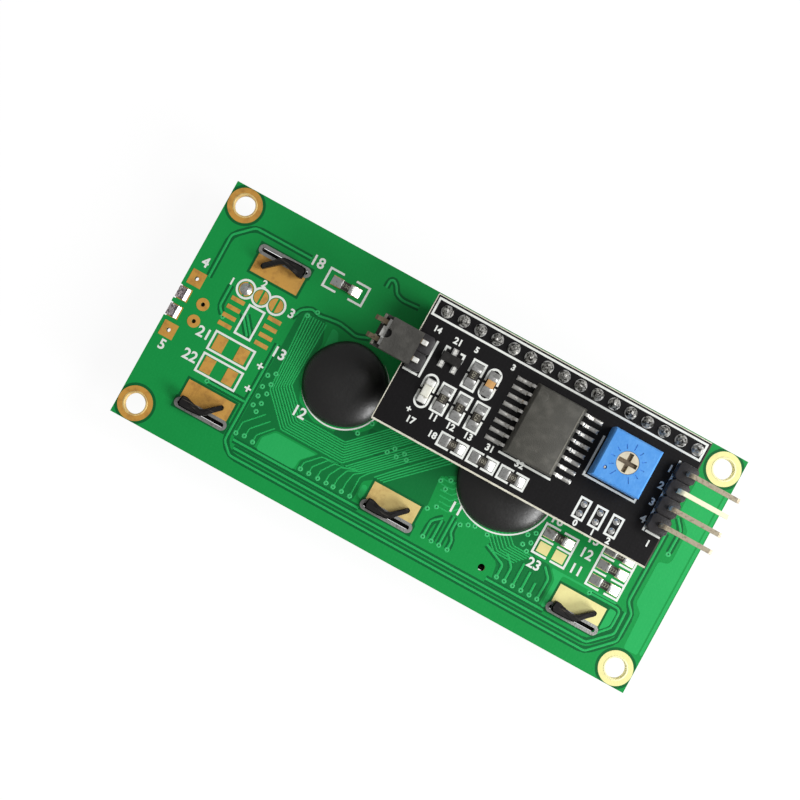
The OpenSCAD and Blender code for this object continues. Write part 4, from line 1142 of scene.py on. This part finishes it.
@dataclass(frozen=True)
class ChipPart:
    """A fired chip with a coated back and metal caps folded round its ends."""

    length: float = 2.0
    width: float = 1.25
    height: float = 0.5
    cap: float = 0.42
    cap_rise: float = 0.035
    edge: float = 0.07
    body: Finish = Finish.ALUMINA
    face: Finish = Finish.RESISTOR_COAT
    marking: str = ""
    marking_size: float = 0.74
    marking_rise: float = 0.008
    marking_fineness: int = 2
    seam: float = 0.004

    def build(self) -> Piece:
        """Makes the chip about the origin, standing on it.

        Returns:
            The dressed chip.
        """
        rise = self.cap_rise
        x, y = self.length / 2 - rise, self.width / 2 - rise
        chip = block((-x, -y, rise), (x, y, self.height - rise))
        inner = self.length / 2 - self.cap
        with editing(chip):
            for side in (-1, 1):
                bpy.ops.mesh.select_all(action="SELECT")
                bpy.ops.mesh.bisect(plane_co=(side * inner * MM, 0, 0), plane_no=(1, 0, 0))
            pick(chip, "faces", lambda face: abs(face.calc_center_median().x) > inner * MM)
            bpy.ops.mesh.extrude_region_shrink_fatten(
                MESH_OT_extrude_region={},
                TRANSFORM_OT_shrink_fatten={"value": rise * MM, "use_even_offset": True})
        bevelled(chip, self.edge, 2, 50)
        top = (self.height - 2 * rise) * MM
        for face in chip.data.polygons:
            on_cap = abs(face.center.x) > (inner - self.seam) * MM
            face.material_index = 2 if on_cap else int(face.center.z > top)
        coat(chip, self.body, self.face, Finish.SOLDER)
        if not self.marking:
            return chip
        print_on = figures(self.marking, self.marking_size, self.marking_rise, self.marking_fineness)
        return joined([chip, coat(settle(print_on, (0, 0, self.height - rise)), Finish.CHIP_MARK)])


@dataclass
class ChipParts:
    """Every chip resistor and the chip capacitor, each with its solder."""

    copper: float = 0.04
    main: Sequence[tuple[float, float, float, str]] = (
        (-19.95, 12.4, 0, "150"), (22.25, -3.75, 0, "514"), (30.75, -1.8, 0, "223"), (30.75, -4.0, 0, "223"),
        (30.75, -6.3, 0, "223"))
    pack: Sequence[tuple[float, float, float, str]] = (
        (1.05, 9.75, 90, "102"), (-1.05, 5.0, 90, "102"), (1.5, 5.0, 90, "472"), (4.1, 5.0, 90, "472"),
        (3.0, 0.25, 0, "103"), (7.55, 0.25, 0, "103"), (12.1, 0.25, 0, "103"))
    capacitor: ChipPart = ChipPart(height=0.9, cap=0.5, edge=0.1, body=Finish.TAN_CERAMIC,
                                   face=Finish.TAN_CERAMIC)
    capacitor_at: Point = (3.55, 9.75)

    def build(self) -> None:
        """Makes and places the parts."""
        for board, kind, rows in ((MAIN, "board_resistor", self.main), (PACK, "interface_resistor", self.pack)):
            for number, (x, y, turn, value) in enumerate(rows, 1):
                name = f"{kind}_{number}"
                part = settle(ChipPart(marking=value).build(), (x, y, board.level + self.copper), turn)
                hand_over(part, name + "_part", "black_ceramic", stands_for=(name,))
        tank = settle(self.capacitor.build(), (*self.capacitor_at, PACK.level + self.copper), 90)
        hand_over(tank, "ceramic_capacitor_part", "tan_ceramic", stands_for=("ceramic_capacitor",))


@dataclass
class DriverDome:
    """A blob of black resin over a driver chip, which ran out a little before it set."""

    solid: str
    x: float
    y: float
    radius: float
    height: float = 2.0
    fullness: Point = (2.6, 0.62)
    tuck: float = 0.99
    waver: float = 0.006
    rings: int = 14
    steps: int = 72

    def build(self) -> None:
        """Makes the blob with a full crown and a wavering rim."""
        shares = [math.sin(ring / self.rings * math.pi / 2) for ring in range(self.rings + 1)]
        inner, outer = self.fullness
        crown = [(self.radius * share, self.height * (1 - share ** inner) ** outer) for share in shares]
        blob = turned([*crown, (self.radius * self.tuck, 0.0)], self.steps)
        for corner in blob.data.vertices:
            angle = math.atan2(corner.co.y, corner.co.x)
            drawn_in = 1 - self.waver * (2 + math.sin(3 * angle + self.x) + math.sin(5 * angle + 2))
            corner.co.x *= drawn_in
            corner.co.y *= drawn_in
        settle(smoothed(blob, 60), (self.x, self.y, MAIN.level))
        hand_over(blob, self.solid + "_resin", "black_resin", Finish.RESIN, stands_for=(self.solid,))


@dataclass
class BusChip:
    """Moulded body of the interface chip, with drafted sides and a dimple at its first lead."""

    low: Sequence[float] = (9.0, 2.75, 15.85)
    high: Sequence[float] = (16.5, 13.05, 18.15)
    waist: float = 0.9
    draft: Point = (0.5, 0.22)
    edge: float = 0.12
    highlight_inset: float = 0.02
    highlight_end: float = 0.4
    highlight_width: float = 0.16
    highlight_height: float = 0.035
    dimple: Run = ((0, -0.03), (0.55, -0.03), (0.58, 0.004), (0.67, 0.012), (0.71, 0.0), (0.71, -0.05))
    dimple_inset: Point = (1.35, 1.4)

    def build(self) -> None:
        """Makes the body, wider at the plane of its leads, a pale line along its right edge as a painted
        highlight, and its dimple.
        """
        body = block(self.low, self.high)
        middle = (self.low[2] + self.waist) * MM
        centre = (Vector(self.low) + Vector(self.high)) / 2 * MM
        size = Vector(self.high) - Vector(self.low)
        drawn_in = (1 - 2 * self.draft[0] / size.x, 1 - 2 * self.draft[1] / size.y, 1)
        with editing(body):
            bpy.ops.mesh.select_all(action="SELECT")
            bpy.ops.mesh.bisect(plane_co=(0, 0, middle), plane_no=(0, 0, 1))
            for sign in (1, -1):
                pick(body, "faces", lambda face: face.normal.z * sign > LEVEL)
                bpy.ops.transform.resize(value=drawn_in, center_override=centre)
        hand_over(bevelled(body, self.edge, 2, 10), "chip_moulding", "chip_resin", Finish.CHIP_RESIN,
                  stands_for=("chip_body",))
        # Pale strip along the top's right edge: a painted highlight where the bevel catches the light
        x = self.high[0] - self.draft[0] - self.highlight_inset
        line = [(x, -self.high[1] + self.highlight_end), (x, -self.low[1] - self.highlight_end)]
        top = Drawing(0.0, 0.0, self.high[2] - self.highlight_inset)
        worn = top.ribbons([line], self.highlight_width, self.highlight_height)
        hand_over(worn, "chip_edge", "chip_resin", Finish.CAP_EDGE)
        x, y = self.low[0] + self.dimple_inset[0], self.high[1] - self.dimple_inset[1]
        spot = settle(smoothed(turned(self.dimple)), (x, y, self.high[2]))
        hand_over(spot, "chip_dimple", "chip_resin", Finish.CHIP_RESIN)


@dataclass
class ChipLeads:
    """Gull-wing leads of the interface chip, each with its solder."""

    middle: Point = (12.75, 7.9)
    pitch: float = 1.27
    count: int = 8
    width: float = 0.42
    bend: float = 0.12
    edge: float = 0.04
    side: Run = (
        (3.6, 16.875), (4.05, 16.875), (4.175, 15.74), (5.2, 15.74), (5.2, 15.99), (4.425, 15.99),
        (4.3, 17.125), (3.6, 17.125))
    joint: Box = ((4.45, -0.29, 15.7), (6.5, 0.29, 15.97))
    joint_corner: float = 0.27
    joint_edge: float = 0.13

    def lead(self) -> Piece:
        """Makes one lead, which points along X.

        Returns:
            The lead.
        """
        drawn = BENCH.plates([[(x, -z) for x, z in self.side]], self.width / 2, self.bend)
        drawn.rotation_euler.x = math.radians(90)
        return coat(bevelled(settle(drawn), self.edge, 2), Finish.LEAD_TIN)

    def solder(self) -> Piece:
        """Makes the rounded solder over a lead's foot and land.

        Returns:
            The solder.
        """
        mound = block(*self.joint)
        cut_corners(mound, self.joint_corner, 4)
        return coat(bevelled(mound, self.joint_edge, 3, 50), Finish.LEAD_TIN)

    def build(self) -> None:
        """Copies the lead and its solder to every place on both sides."""
        x, y = self.middle
        rows = [y + (number - (self.count - 1) / 2) * self.pitch for number in range(self.count)]
        places = [((x, row, 0), turn) for row in rows for turn in (0, 180)]
        hand_over(repeated(self.lead(), places), "formed_leads", "tinned_leads", stands_for=("chip_leads",))
        hand_over(repeated(self.solder(), places), "lead_joints", "solder")


@dataclass
class ScoredEdges:
    """Pale fibres along the edges at which the interface board was broken from its panel."""

    left: float = 31.7
    right: float = 73.4
    low: float = 19.75
    high: float = 0.75
    width: float = 0.26
    inset: float = 0.1
    height: float = 0.014

    def build(self) -> None:
        """Makes the pale lines, broad along the long lower edge and thin elsewhere."""
        left, right = self.left + self.inset, self.right - self.inset
        low, high = self.low - self.inset, self.high + self.inset
        broad = PACK.ribbons([[(left, low), (right, low)]], self.width, self.height)
        others = [[(left, low), (left, high)], [(left, high), (right, high)]]
        thin = PACK.ribbons(others, self.width / 2, self.height)
        hand_over(joined([broad, thin]), "scored_edges", "black_board", Finish.LAMINATE)


@dataclass
class SlotLinings:
    """Plated walls of the six slots that the frame's tabs come through."""

    length: float = 7.4
    width: float = 0.9
    wall: float = 0.15
    low: float = 7.6
    high: float = 8.63
    arc_steps: int = 8
    rounding: float = 0.02

    def outline(self, middle: Point, inset: float) -> list[Point]:
        """Outline of a slot with round ends.

        Args:
            middle: The slot's middle on the board.
            inset: How far the outline lies inside the slot.

        Returns:
            Its corners.
        """
        radius = self.width / 2 - inset
        straight = self.length / 2 - self.width / 2
        angles = [math.radians(180 * step / self.arc_steps - 90) for step in range(self.arc_steps + 1)]
        right = [(straight + radius * math.cos(a), radius * math.sin(a)) for a in angles]
        return [(middle[0] + x, middle[1] + y) for x, y in [*right, *((-x, -y) for x, y in right)]]

    def build(self) -> None:
        """Makes the walls of all slots."""
        outlines = [self.outline(middle, inset) for middle, _ in TAB_SLOTS for inset in (0.0, self.wall)]
        walls = Drawing(MAIN.left, MAIN.top, (self.low + self.high) / 2).plates(
            outlines, (self.high - self.low) / 2, self.rounding)
        hand_over(walls, "slot_linings", "bare_copper", Finish.RIM)


@dataclass
class LandClearances:
    """Dark bare ring that the copper pour leaves round each land."""

    hole_radius: float = 1.6
    hole_clearance: float = 2.85
    slot_reach: float = 4.15
    slot_depth: Point = (-0.95, 0.75)
    land_reach: float = 3.95
    land_depth: Point = (0.9, 3.8)
    board: Point = (80.0, 36.0)
    border: float = 0.03
    steps: int = 40
    lift: float = 0.003
    rounding: float = 0.05

    def ring(self, middle: Point, radius: float) -> list[Point]:
        """Circle that stops at the board's edges.

        Args:
            middle: Its middle on the board.
            radius: Its radius.

        Returns:
            Its corners.
        """
        angles = [math.tau * step / self.steps for step in range(self.steps)]
        corners = [(middle[0] + radius * math.cos(a), middle[1] + radius * math.sin(a)) for a in angles]
        least, (length, width) = self.border, self.board
        return [(min(max(x, least), length - least), min(max(y, least), width - least)) for x, y in corners]

    def round_slot(self, middle: Point, side: float) -> list[Point]:
        """Outline round a slot and the land beside it.

        Args:
            middle: The slot's middle on the board.
            side: Which side of the slot the land is on.

        Returns:
            Its corners.
        """
        slot, land = self.slot_reach, self.land_reach
        (back, front), (start, end) = self.slot_depth, self.land_depth
        corners = [(-slot, back), (slot, back), (slot, front), (land, start), (land, end), (-land, end),
                   (-land, start), (-slot, front)]
        return [(middle[0] + x, middle[1] + side * y) for x, y in corners]

    def build(self) -> None:
        """Makes the rings, open over the holes and slots."""
        outlines = [self.ring(hole, radius) for hole in MOUNT_HOLES
                    for radius in (self.hole_clearance, self.hole_radius)]
        for middle, side in TAB_SLOTS:
            outlines += [self.round_slot(middle, side), SlotLinings().outline(middle, 0.0)]
        hand_over(MAIN.plates(outlines, self.lift, self.rounding), "land_clearances", "green_board",
                  Finish.GREEN_GAP)


@dataclass
class HolePlating:
    """Plating down the walls of the four mounting holes, in paler copper as a painted highlight on their lips.
    """

    radius: float = 1.5
    wall: float = 0.06
    lip: float = 0.2
    rim: float = 0.04
    roll: float = 0.03
    low: float = 7.0
    high: float = 8.66
    steps: int = 48

    def build(self) -> None:
        """Makes one lined hole with a rolled lip and copies it."""
        inner, lip = self.radius - self.wall, self.radius + self.lip
        edge = self.high - self.roll
        first = turned([(inner, self.low), (inner, edge), (inner + self.roll, self.high), (lip, self.high),
                        (lip + self.rim, edge), (lip + self.rim, edge - self.roll)], self.steps)
        # Paler copper than the lands: a painted highlight on the hole's lip and wall
        coat(smoothed(first, 50), Finish.COPPER_LIP)
        places = [((*MAIN.at(*hole)[:2], 0), 0.0) for hole in MOUNT_HOLES]
        hand_over(repeated(first, places), "hole_plating", "bare_copper")


@dataclass
class TabFolds:
    """Thick enamelled folds of the six tabs, fat at the slot and thin over the land; their breadth also stands
    for the dark slot and the folds' shadow, as painted shade.
    """

    # Breadth beyond the sheet's thickness is painted shade: the dark slot and the fold's shadow on the land
    outline: Run = (
        (-3.35, 0.1), (-3.1, -0.4), (-2.0, -0.44), (-0.5, -0.36), (0.15, -0.3), (0.6, 0.05), (2.5, 1.9),
        (2.5, 2.3), (2.15, 2.5), (0.3, 0.85), (-0.3, 0.5), (-1.5, 0.8), (-2.6, 1.15), (-3.2, 1.1))
    low: float = 8.68
    high: float = 10.1
    corner: float = 0.12
    taper: Point = (0.95, 0.88)
    taper_y: float = 0.6
    edge: float = 0.1

    def build(self) -> None:
        """Makes one fold and copies it to every slot."""
        middle, half = (self.low + self.high) / 2, (self.high - self.low) / 2
        first = BENCH.plates([[(x, -y) for x, y in self.outline]], half, self.corner)
        with editing(first):
            pick(first, "faces", lambda face: face.normal.z > LEVEL)
            bpy.ops.transform.resize(value=(*self.taper, 1), center_override=(0, self.taper_y * MM, 0))
        coat(bevelled(first, self.edge, 3, 40), Finish.ENAMEL)
        places = [((*MAIN.at(*slot)[:2], middle), 180.0 if side > 0 else 0.0) for slot, side in TAB_SLOTS]
        hand_over(repeated(first, places), "tab_folds", "black_steel")


@dataclass
class LinkJoints:
    """Dull rough solder round the sixteen link pins, the last joint brighter than the rest."""

    first: Point = (-6.1, 15.5)
    pitch: float = 2.54
    count: int = 16
    radius: float = 0.8
    height: float = 0.95
    shape: Run = ((0.0, 0.99), (0.16, 1.0), (0.36, 0.97), (0.5, 0.82), (0.62, 0.6), (0.76, 0.36), (0.9, 0.15),
                  (1.0, 0.04), (1.0, -0.06))
    lump: float = 0.09
    lift: float = 1.1
    kinds: int = 4
    stride: int = 3
    turn: float = 37.0
    steps: int = 22

    def joint(self, kind: int) -> Piece:
        """Makes one joint about the origin.

        Args:
            kind: Which of the shapes it is.

        Returns:
            The joint.
        """
        piece = turned([(self.radius * r, self.height * z) for r, z in self.shape], self.steps)
        for corner in piece.data.vertices:
            angle = math.atan2(corner.co.y, corner.co.x)
            out = corner.co.to_2d().length / (self.radius * MM)
            waves = (math.sin(3 * angle + 1.7 * kind), math.sin(5 * angle + 2.3 * kind + 9 * out))
            lump = self.lump * waves[0] + self.lump * waves[1]
            corner.co.x *= 1 + lump * min(out, 1)
            corner.co.y *= 1 + lump * min(out, 1)
            if corner.co.z > 0:
                corner.co.z *= 1 + self.lift * lump
        return smoothed(piece, 70)

    def build(self) -> None:
        """Makes the shapes and copies them along the row."""
        shapes = [coat(self.joint(kind), Finish.JOINT) for kind in range(self.kinds)]
        x, y = self.first
        row = [copied(shapes[place * self.stride % self.kinds], (x + place * self.pitch, y, PACK.level),
                      self.turn * place) for place in range(self.count)]
        coat(row[-1], Finish.SOLDER)
        for shape in shapes:
            bpy.data.objects.remove(shape)
        hand_over(joined(row), "link_joints", "solder", stands_for=("link_solder_upper",))


@dataclass
class HeaderStrip:
    """Strip of square cells with cut corners, which holds a row of bent pins."""

    solid: str
    x: Point
    y: Point
    count: int
    low: float = 15.7
    high: float = 18.24
    groove: float = 0.02
    cut: float = 0.42
    edge: float = 0.1

    def build(self) -> None:
        """Makes one cell and copies it along the strip."""
        pitch = (self.y[1] - self.y[0]) / self.count
        cell = block((self.x[0], self.y[0], self.low), (self.x[1], self.y[0] + pitch - self.groove, self.high))
        cut_corners(cell, self.cut, 1)
        coat(bevelled(cell, self.edge, 2, 30), Finish.HEADER_PLASTIC)
        cells = [cell, *(copied(cell, (0, pitch * step, 0)) for step in range(1, self.count))]
        hand_over(joined(cells), self.solid + "_cells", "black_plastic", stands_for=(self.solid,))


@dataclass
class PowerLamp:
    """Small clear lamp on a pale case, between two full joints."""

    at: Sequence[float] = (-3.5, 4.9, 15.74)
    case: Box = ((-0.62, -0.8, 0), (0.62, 0.8, 0.35))
    lens: Box = ((-0.62, -0.78, 0.3), (0.62, 0.78, 0.75))
    joints: Sequence[Box] = (((-0.66, -1.7, 0), (0.66, -0.75, 0.42)), ((-0.66, 0.75, 0), (0.66, 1.7, 0.42)))
    edge: float = 0.05
    rounding: float = 0.16

    def build(self) -> None:
        """Makes the case, the lens and the joints."""
        case = coat(bevelled(block(*self.case), self.edge), Finish.CREAM_PLASTIC)
        lens = coat(bevelled(block(*self.lens), self.rounding, 3), Finish.LAMP_LENS)
        joints = [coat(bevelled(block(*box), self.rounding, 3), Finish.BRIGHT_TIN) for box in self.joints]
        lamp = settle(joined([case, lens, *joints]), self.at)
        hand_over(lamp, "power_lamp_part", "lamp_case", stands_for=("power_lamp",))


@dataclass
class TrimmerDetails:
    """Floor of the rotor's cross, darker brown than the rotor as painted shade, and the round mark of the
    trimmer.
    """

    middle: Point = (24.05, 9.15)
    floor: float = 20.06
    reach: float = 1.33
    arm: float = 0.29
    thickness: float = 0.012
    rounding: float = 0.04
    mark_at: Sequence[float] = (21.67, 7.26, 20.4)
    mark: Run = ((0, 0.09), (0.1, 0.085), (0.16, 0.05), (0.18, 0.0), (0.18, -0.02))

    def build(self) -> None:
        """Makes both pieces."""
        r, a = self.reach, self.arm
        outline = [(-r, -a), (-a, -a), (-a, -r), (a, -r), (a, -a), (r, -a), (r, a), (a, a), (a, r), (-a, r),
                   (-a, a), (-r, a)]
        # Painted shade: a dark plate at the bottom of the cross
        cross = Drawing(*self.middle, self.floor).plates([outline], self.thickness, self.rounding)
        hand_over(cross, "rotor_cross_floor", "cream_plastic", Finish.ROTOR_SLOT, body="rotor")
        spot = settle(smoothed(turned(self.mark, 16)), self.mark_at)
        hand_over(spot, "trimmer_mark", "cream_plastic", Finish.CREAM_PLASTIC)


@dataclass
class JumperDetails:
    """Pale edge of the jumper cap, its inner web in black as painted shade, and bright blocks on the pins that
    it sits on as painted highlights.
    """

    edges: Sequence[Box] = (
        ((-13.08, 6.7, 19.7), (-12.7, 8.1, 19.8)), ((-13.08, 9.7, 19.7), (-12.7, 11.1, 19.8)))
    edge_rounding: float = 0.04
    # The cap's inner web, made black as painted shade in the cap's hollow
    web: Box = ((-11.75, 8.35, 19.2), (-10.8, 9.45, 20.4))
    web_rounding: float = 0.05
    pin_rows: Point = (7.63, 10.17)
    pin_top: Box = ((-7.2, -0.33, 19.6), (-6.3, 0.33, 19.98))
    pin_rounding: float = 0.1

    def build(self) -> None:
        """Makes the pieces."""
        strips = joined([bevelled(block(*box), self.edge_rounding) for box in self.edges])
        hand_over(strips, "cap_end_edges", "grey_plastic", Finish.CAP_EDGE, body="jumper")
        # The web is real, but black rather than the cap's grey: painted shade in the hollow
        web = bevelled(block(*self.web), self.web_rounding)
        hand_over(web, "cap_web", "grey_plastic", Finish.BLACK_PLASTIC, body="jumper")
        # Bright tin blocks on the pins' bends: painted highlights
        tops = [bevelled(block(*((x, row + y, z) for x, y, z in self.pin_top)), self.pin_rounding, 3)
                for row in self.pin_rows]
        hand_over(joined(tops), "bent_pin_tops", "gold_pins", Finish.BRIGHT_TIN)


class PackedSolids:
    """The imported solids, each with its finish."""

    NAMES: dict[Finish, str] = {
        Finish.GREEN_MASK: "main_board",
        Finish.COPPER: "mount_lands tab_lands part_lands",
        Finish.RIM: "slot_rims",
        Finish.PRINT: "board_legend interface_legend",
        Finish.ENAMEL: "bezel",
        Finish.POLARISER: "front_polariser",
        Finish.GLASS: "front_glass rear_glass",
        Finish.REAR_POLARISER: "rear_polariser",
        Finish.RUBBER: "upper_rubber_connector lower_rubber_connector",
        Finish.WHITE_PLASTIC: "backlight_tray diffuser_film lamp_strip",
        Finish.ACRYLIC: "light_guide",
        Finish.LAMP_TIN: "lamp_leads",
        Finish.RESIN: "left_driver_dome right_driver_dome",
        Finish.RESISTOR_COAT:
            "board_resistor_1 board_resistor_2 board_resistor_3 board_resistor_4 board_resistor_5 "
            "interface_resistor_1 interface_resistor_2 interface_resistor_3 interface_resistor_4 "
            "interface_resistor_5 interface_resistor_6 interface_resistor_7",
        Finish.SOLDER:
            "board_solder link_solder_upper link_solder_lower interface_lands interface_solder "
            "underside_solder",
        Finish.BLACK_PLASTIC: "link_header_strip transistor_body cable_header_strip lamp_header_strip",
        Finish.JOINT: "link_header_pins",
        Finish.BLACK_MASK: "interface_board",
        Finish.CHIP_RESIN: "chip_body",
        Finish.LEAD_TIN: "chip_leads trimmer_pins",
        Finish.BLUE_PLASTIC: "trimmer_body",
        Finish.CREAM_PLASTIC: "trimmer_rotor",
        Finish.LAMP_LENS: "power_lamp",
        Finish.TAN_CERAMIC: "ceramic_capacitor",
        Finish.BRIGHT_TIN: "transistor_leads jumper_contact",
        Finish.PIN_ROW: "cable_header_pins",
        Finish.PIN_DARK: "lamp_header_pins",
        Finish.GREY_PLASTIC: "jumper_cap",
    }

    def dress(self) -> None:
        """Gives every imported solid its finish."""
        for finish, names in self.NAMES.items():
            for name in names.split():
                coat(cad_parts[name], finish)
                LOG.info("%s dressed", name)


@dataclass(frozen=True)
class SoftLamp:
    """A square lamp of the studio."""

    name: str
    at: Sequence[float]
    size: float
    power: float


@dataclass
class Studio:
    """Pale floor, soft lamps, and the camera over the module."""

    camera_at: Sequence[float] = (-5.66, -5.82, 263.7)
    aim: Sequence[float] = (-5.99, 2.38, 8.6)
    across: Sequence[float] = (0.8757, 0.4829, 0.0)
    lens: float = 83.84
    sensor: float = 36
    lamps: Sequence[SoftLamp] = (
        SoftLamp("key_lamp", (290, -85, 170), 120, 0.85), SoftLamp("top_lamp", (240, 110, 300), 160, 0.8))
    lamp_aim: Sequence[float] = (0, 0, 10)
    clip_start: float = 10
    sky: float = 0.26
    paper: Box = ((0.80, 0.80, 0.80), (0.82, 0.82, 0.82))
    floor_side: float = 6000
    floor_level: float = -0.2
    floor_glow: float = 1.08
    floor_light: float = 0.85

    def build(self) -> None:
        """Makes the camera, the lamps, the sky and the floor."""
        self.camera()
        for lamp in self.lamps:
            self.light(lamp)
        self.world()
        self.floor()

    def camera(self) -> None:
        """Makes the camera, turned so that the module's long side falls to the right."""
        alone()
        bpy.ops.object.camera_add()
        camera = bpy.context.object
        at, aim = Vector(self.camera_at) * MM, Vector(self.aim) * MM
        ahead = (aim - at).normalized()
        right = Vector(self.across)
        right = (right - ahead * right.dot(ahead)).normalized()
        up = right.cross(ahead)
        camera.matrix_world = Matrix.Translation(at) @ Matrix((right, up, -ahead)).transposed().to_4x4()
        camera.data.lens = self.lens
        camera.data.sensor_width = self.sensor
        camera.data.clip_start = self.clip_start * MM
        bpy.context.scene.camera = camera

    def light(self, lamp: SoftLamp) -> None:
        """Adds a lamp that points at the module.

        Args:
            lamp: The lamp's name, place, side and power, in millimetres and watts.
        """
        alone()
        bpy.ops.object.light_add(type="AREA", location=Vector(lamp.at) * MM)
        light = bpy.context.object
        light.name = lamp.name
        light.rotation_euler = (Vector(lamp.at) - Vector(self.lamp_aim)).to_track_quat("Z", "Y").to_euler()
        light.data.shape = "SQUARE"
        light.data.size = lamp.size * MM
        light.data.energy = lamp.power

    def world(self) -> None:
        """Sets an even grey sky."""
        world = bpy.data.worlds.new("studio_sky")
        world.use_nodes = True
        world.node_tree.nodes["Background"].inputs["Color"].default_value = (self.sky, self.sky, self.sky, 1)
        bpy.context.scene.world = world
        bpy.context.scene.view_settings.view_transform = "Standard"

    def floor(self) -> None:
        """Makes a floor that shows white to the camera and keeps a soft shadow."""
        alone()
        bpy.ops.mesh.primitive_plane_add(size=self.floor_side * MM, location=(0, 0, self.floor_level * MM))
        floor = settle(bpy.context.object)
        floor.name = "studio_floor"
        shader = Shader("studio_floor")
        path = shader.node("ShaderNodeLightPath")
        camera, glossy, through = (Value(shader, path.outputs[name])
                                   for name in ("Is Camera Ray", "Is Glossy Ray", "Is Transmission Ray"))
        seen = (camera + glossy + through) > 0.5
        glow = shader.node("ShaderNodeEmission", None, {"Color": (1, 1, 1), "Strength": self.floor_glow})
        paper = shader.mix(shader.noise(0.02, 2.0), *self.paper)
        shader.dress({"Base Color": paper, "Roughness": 0.9, "Specular IOR Level": 0.0})
        blend = shader.node("ShaderNodeMixShader", None, {
            0: seen * self.floor_light, 1: shader.surface.outputs[0], 2: glow.outputs[0]})
        shader.tree.links.new(blend.outputs[0], shader.tree.nodes["Material Output"].inputs["Surface"])
        floor.data.materials.append(shader.material)


def main() -> None:
    """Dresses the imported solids, then builds each sub-assembly and the studio."""
    logging.basicConfig(level=logging.INFO, format="%(name)s: %(message)s")
    PackedSolids().dress()
    for assembly in (
            TrackPattern(), PrintedNumbers(), ChipParts(),
            DriverDome("left_driver_dome", -13.6, 0.6, 6.0), DriverDome("right_driver_dome", 12.3, -0.4, 7.0),
            BusChip(), ChipLeads(), ScoredEdges(), LandClearances(), HolePlating(), TabFolds(), SlotLinings(),
            LinkJoints(), HeaderStrip("cable_header_strip", (30.55, 33.35), (2.92, 13.08), 4),
            HeaderStrip("lamp_header_strip", (-8.0, -5.5), (6.36, 11.44), 2), PowerLamp(), TrimmerDetails(),
            JumperDetails(), Studio()):
        assembly.build()
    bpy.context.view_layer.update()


if __name__ == "__main__":
    main()
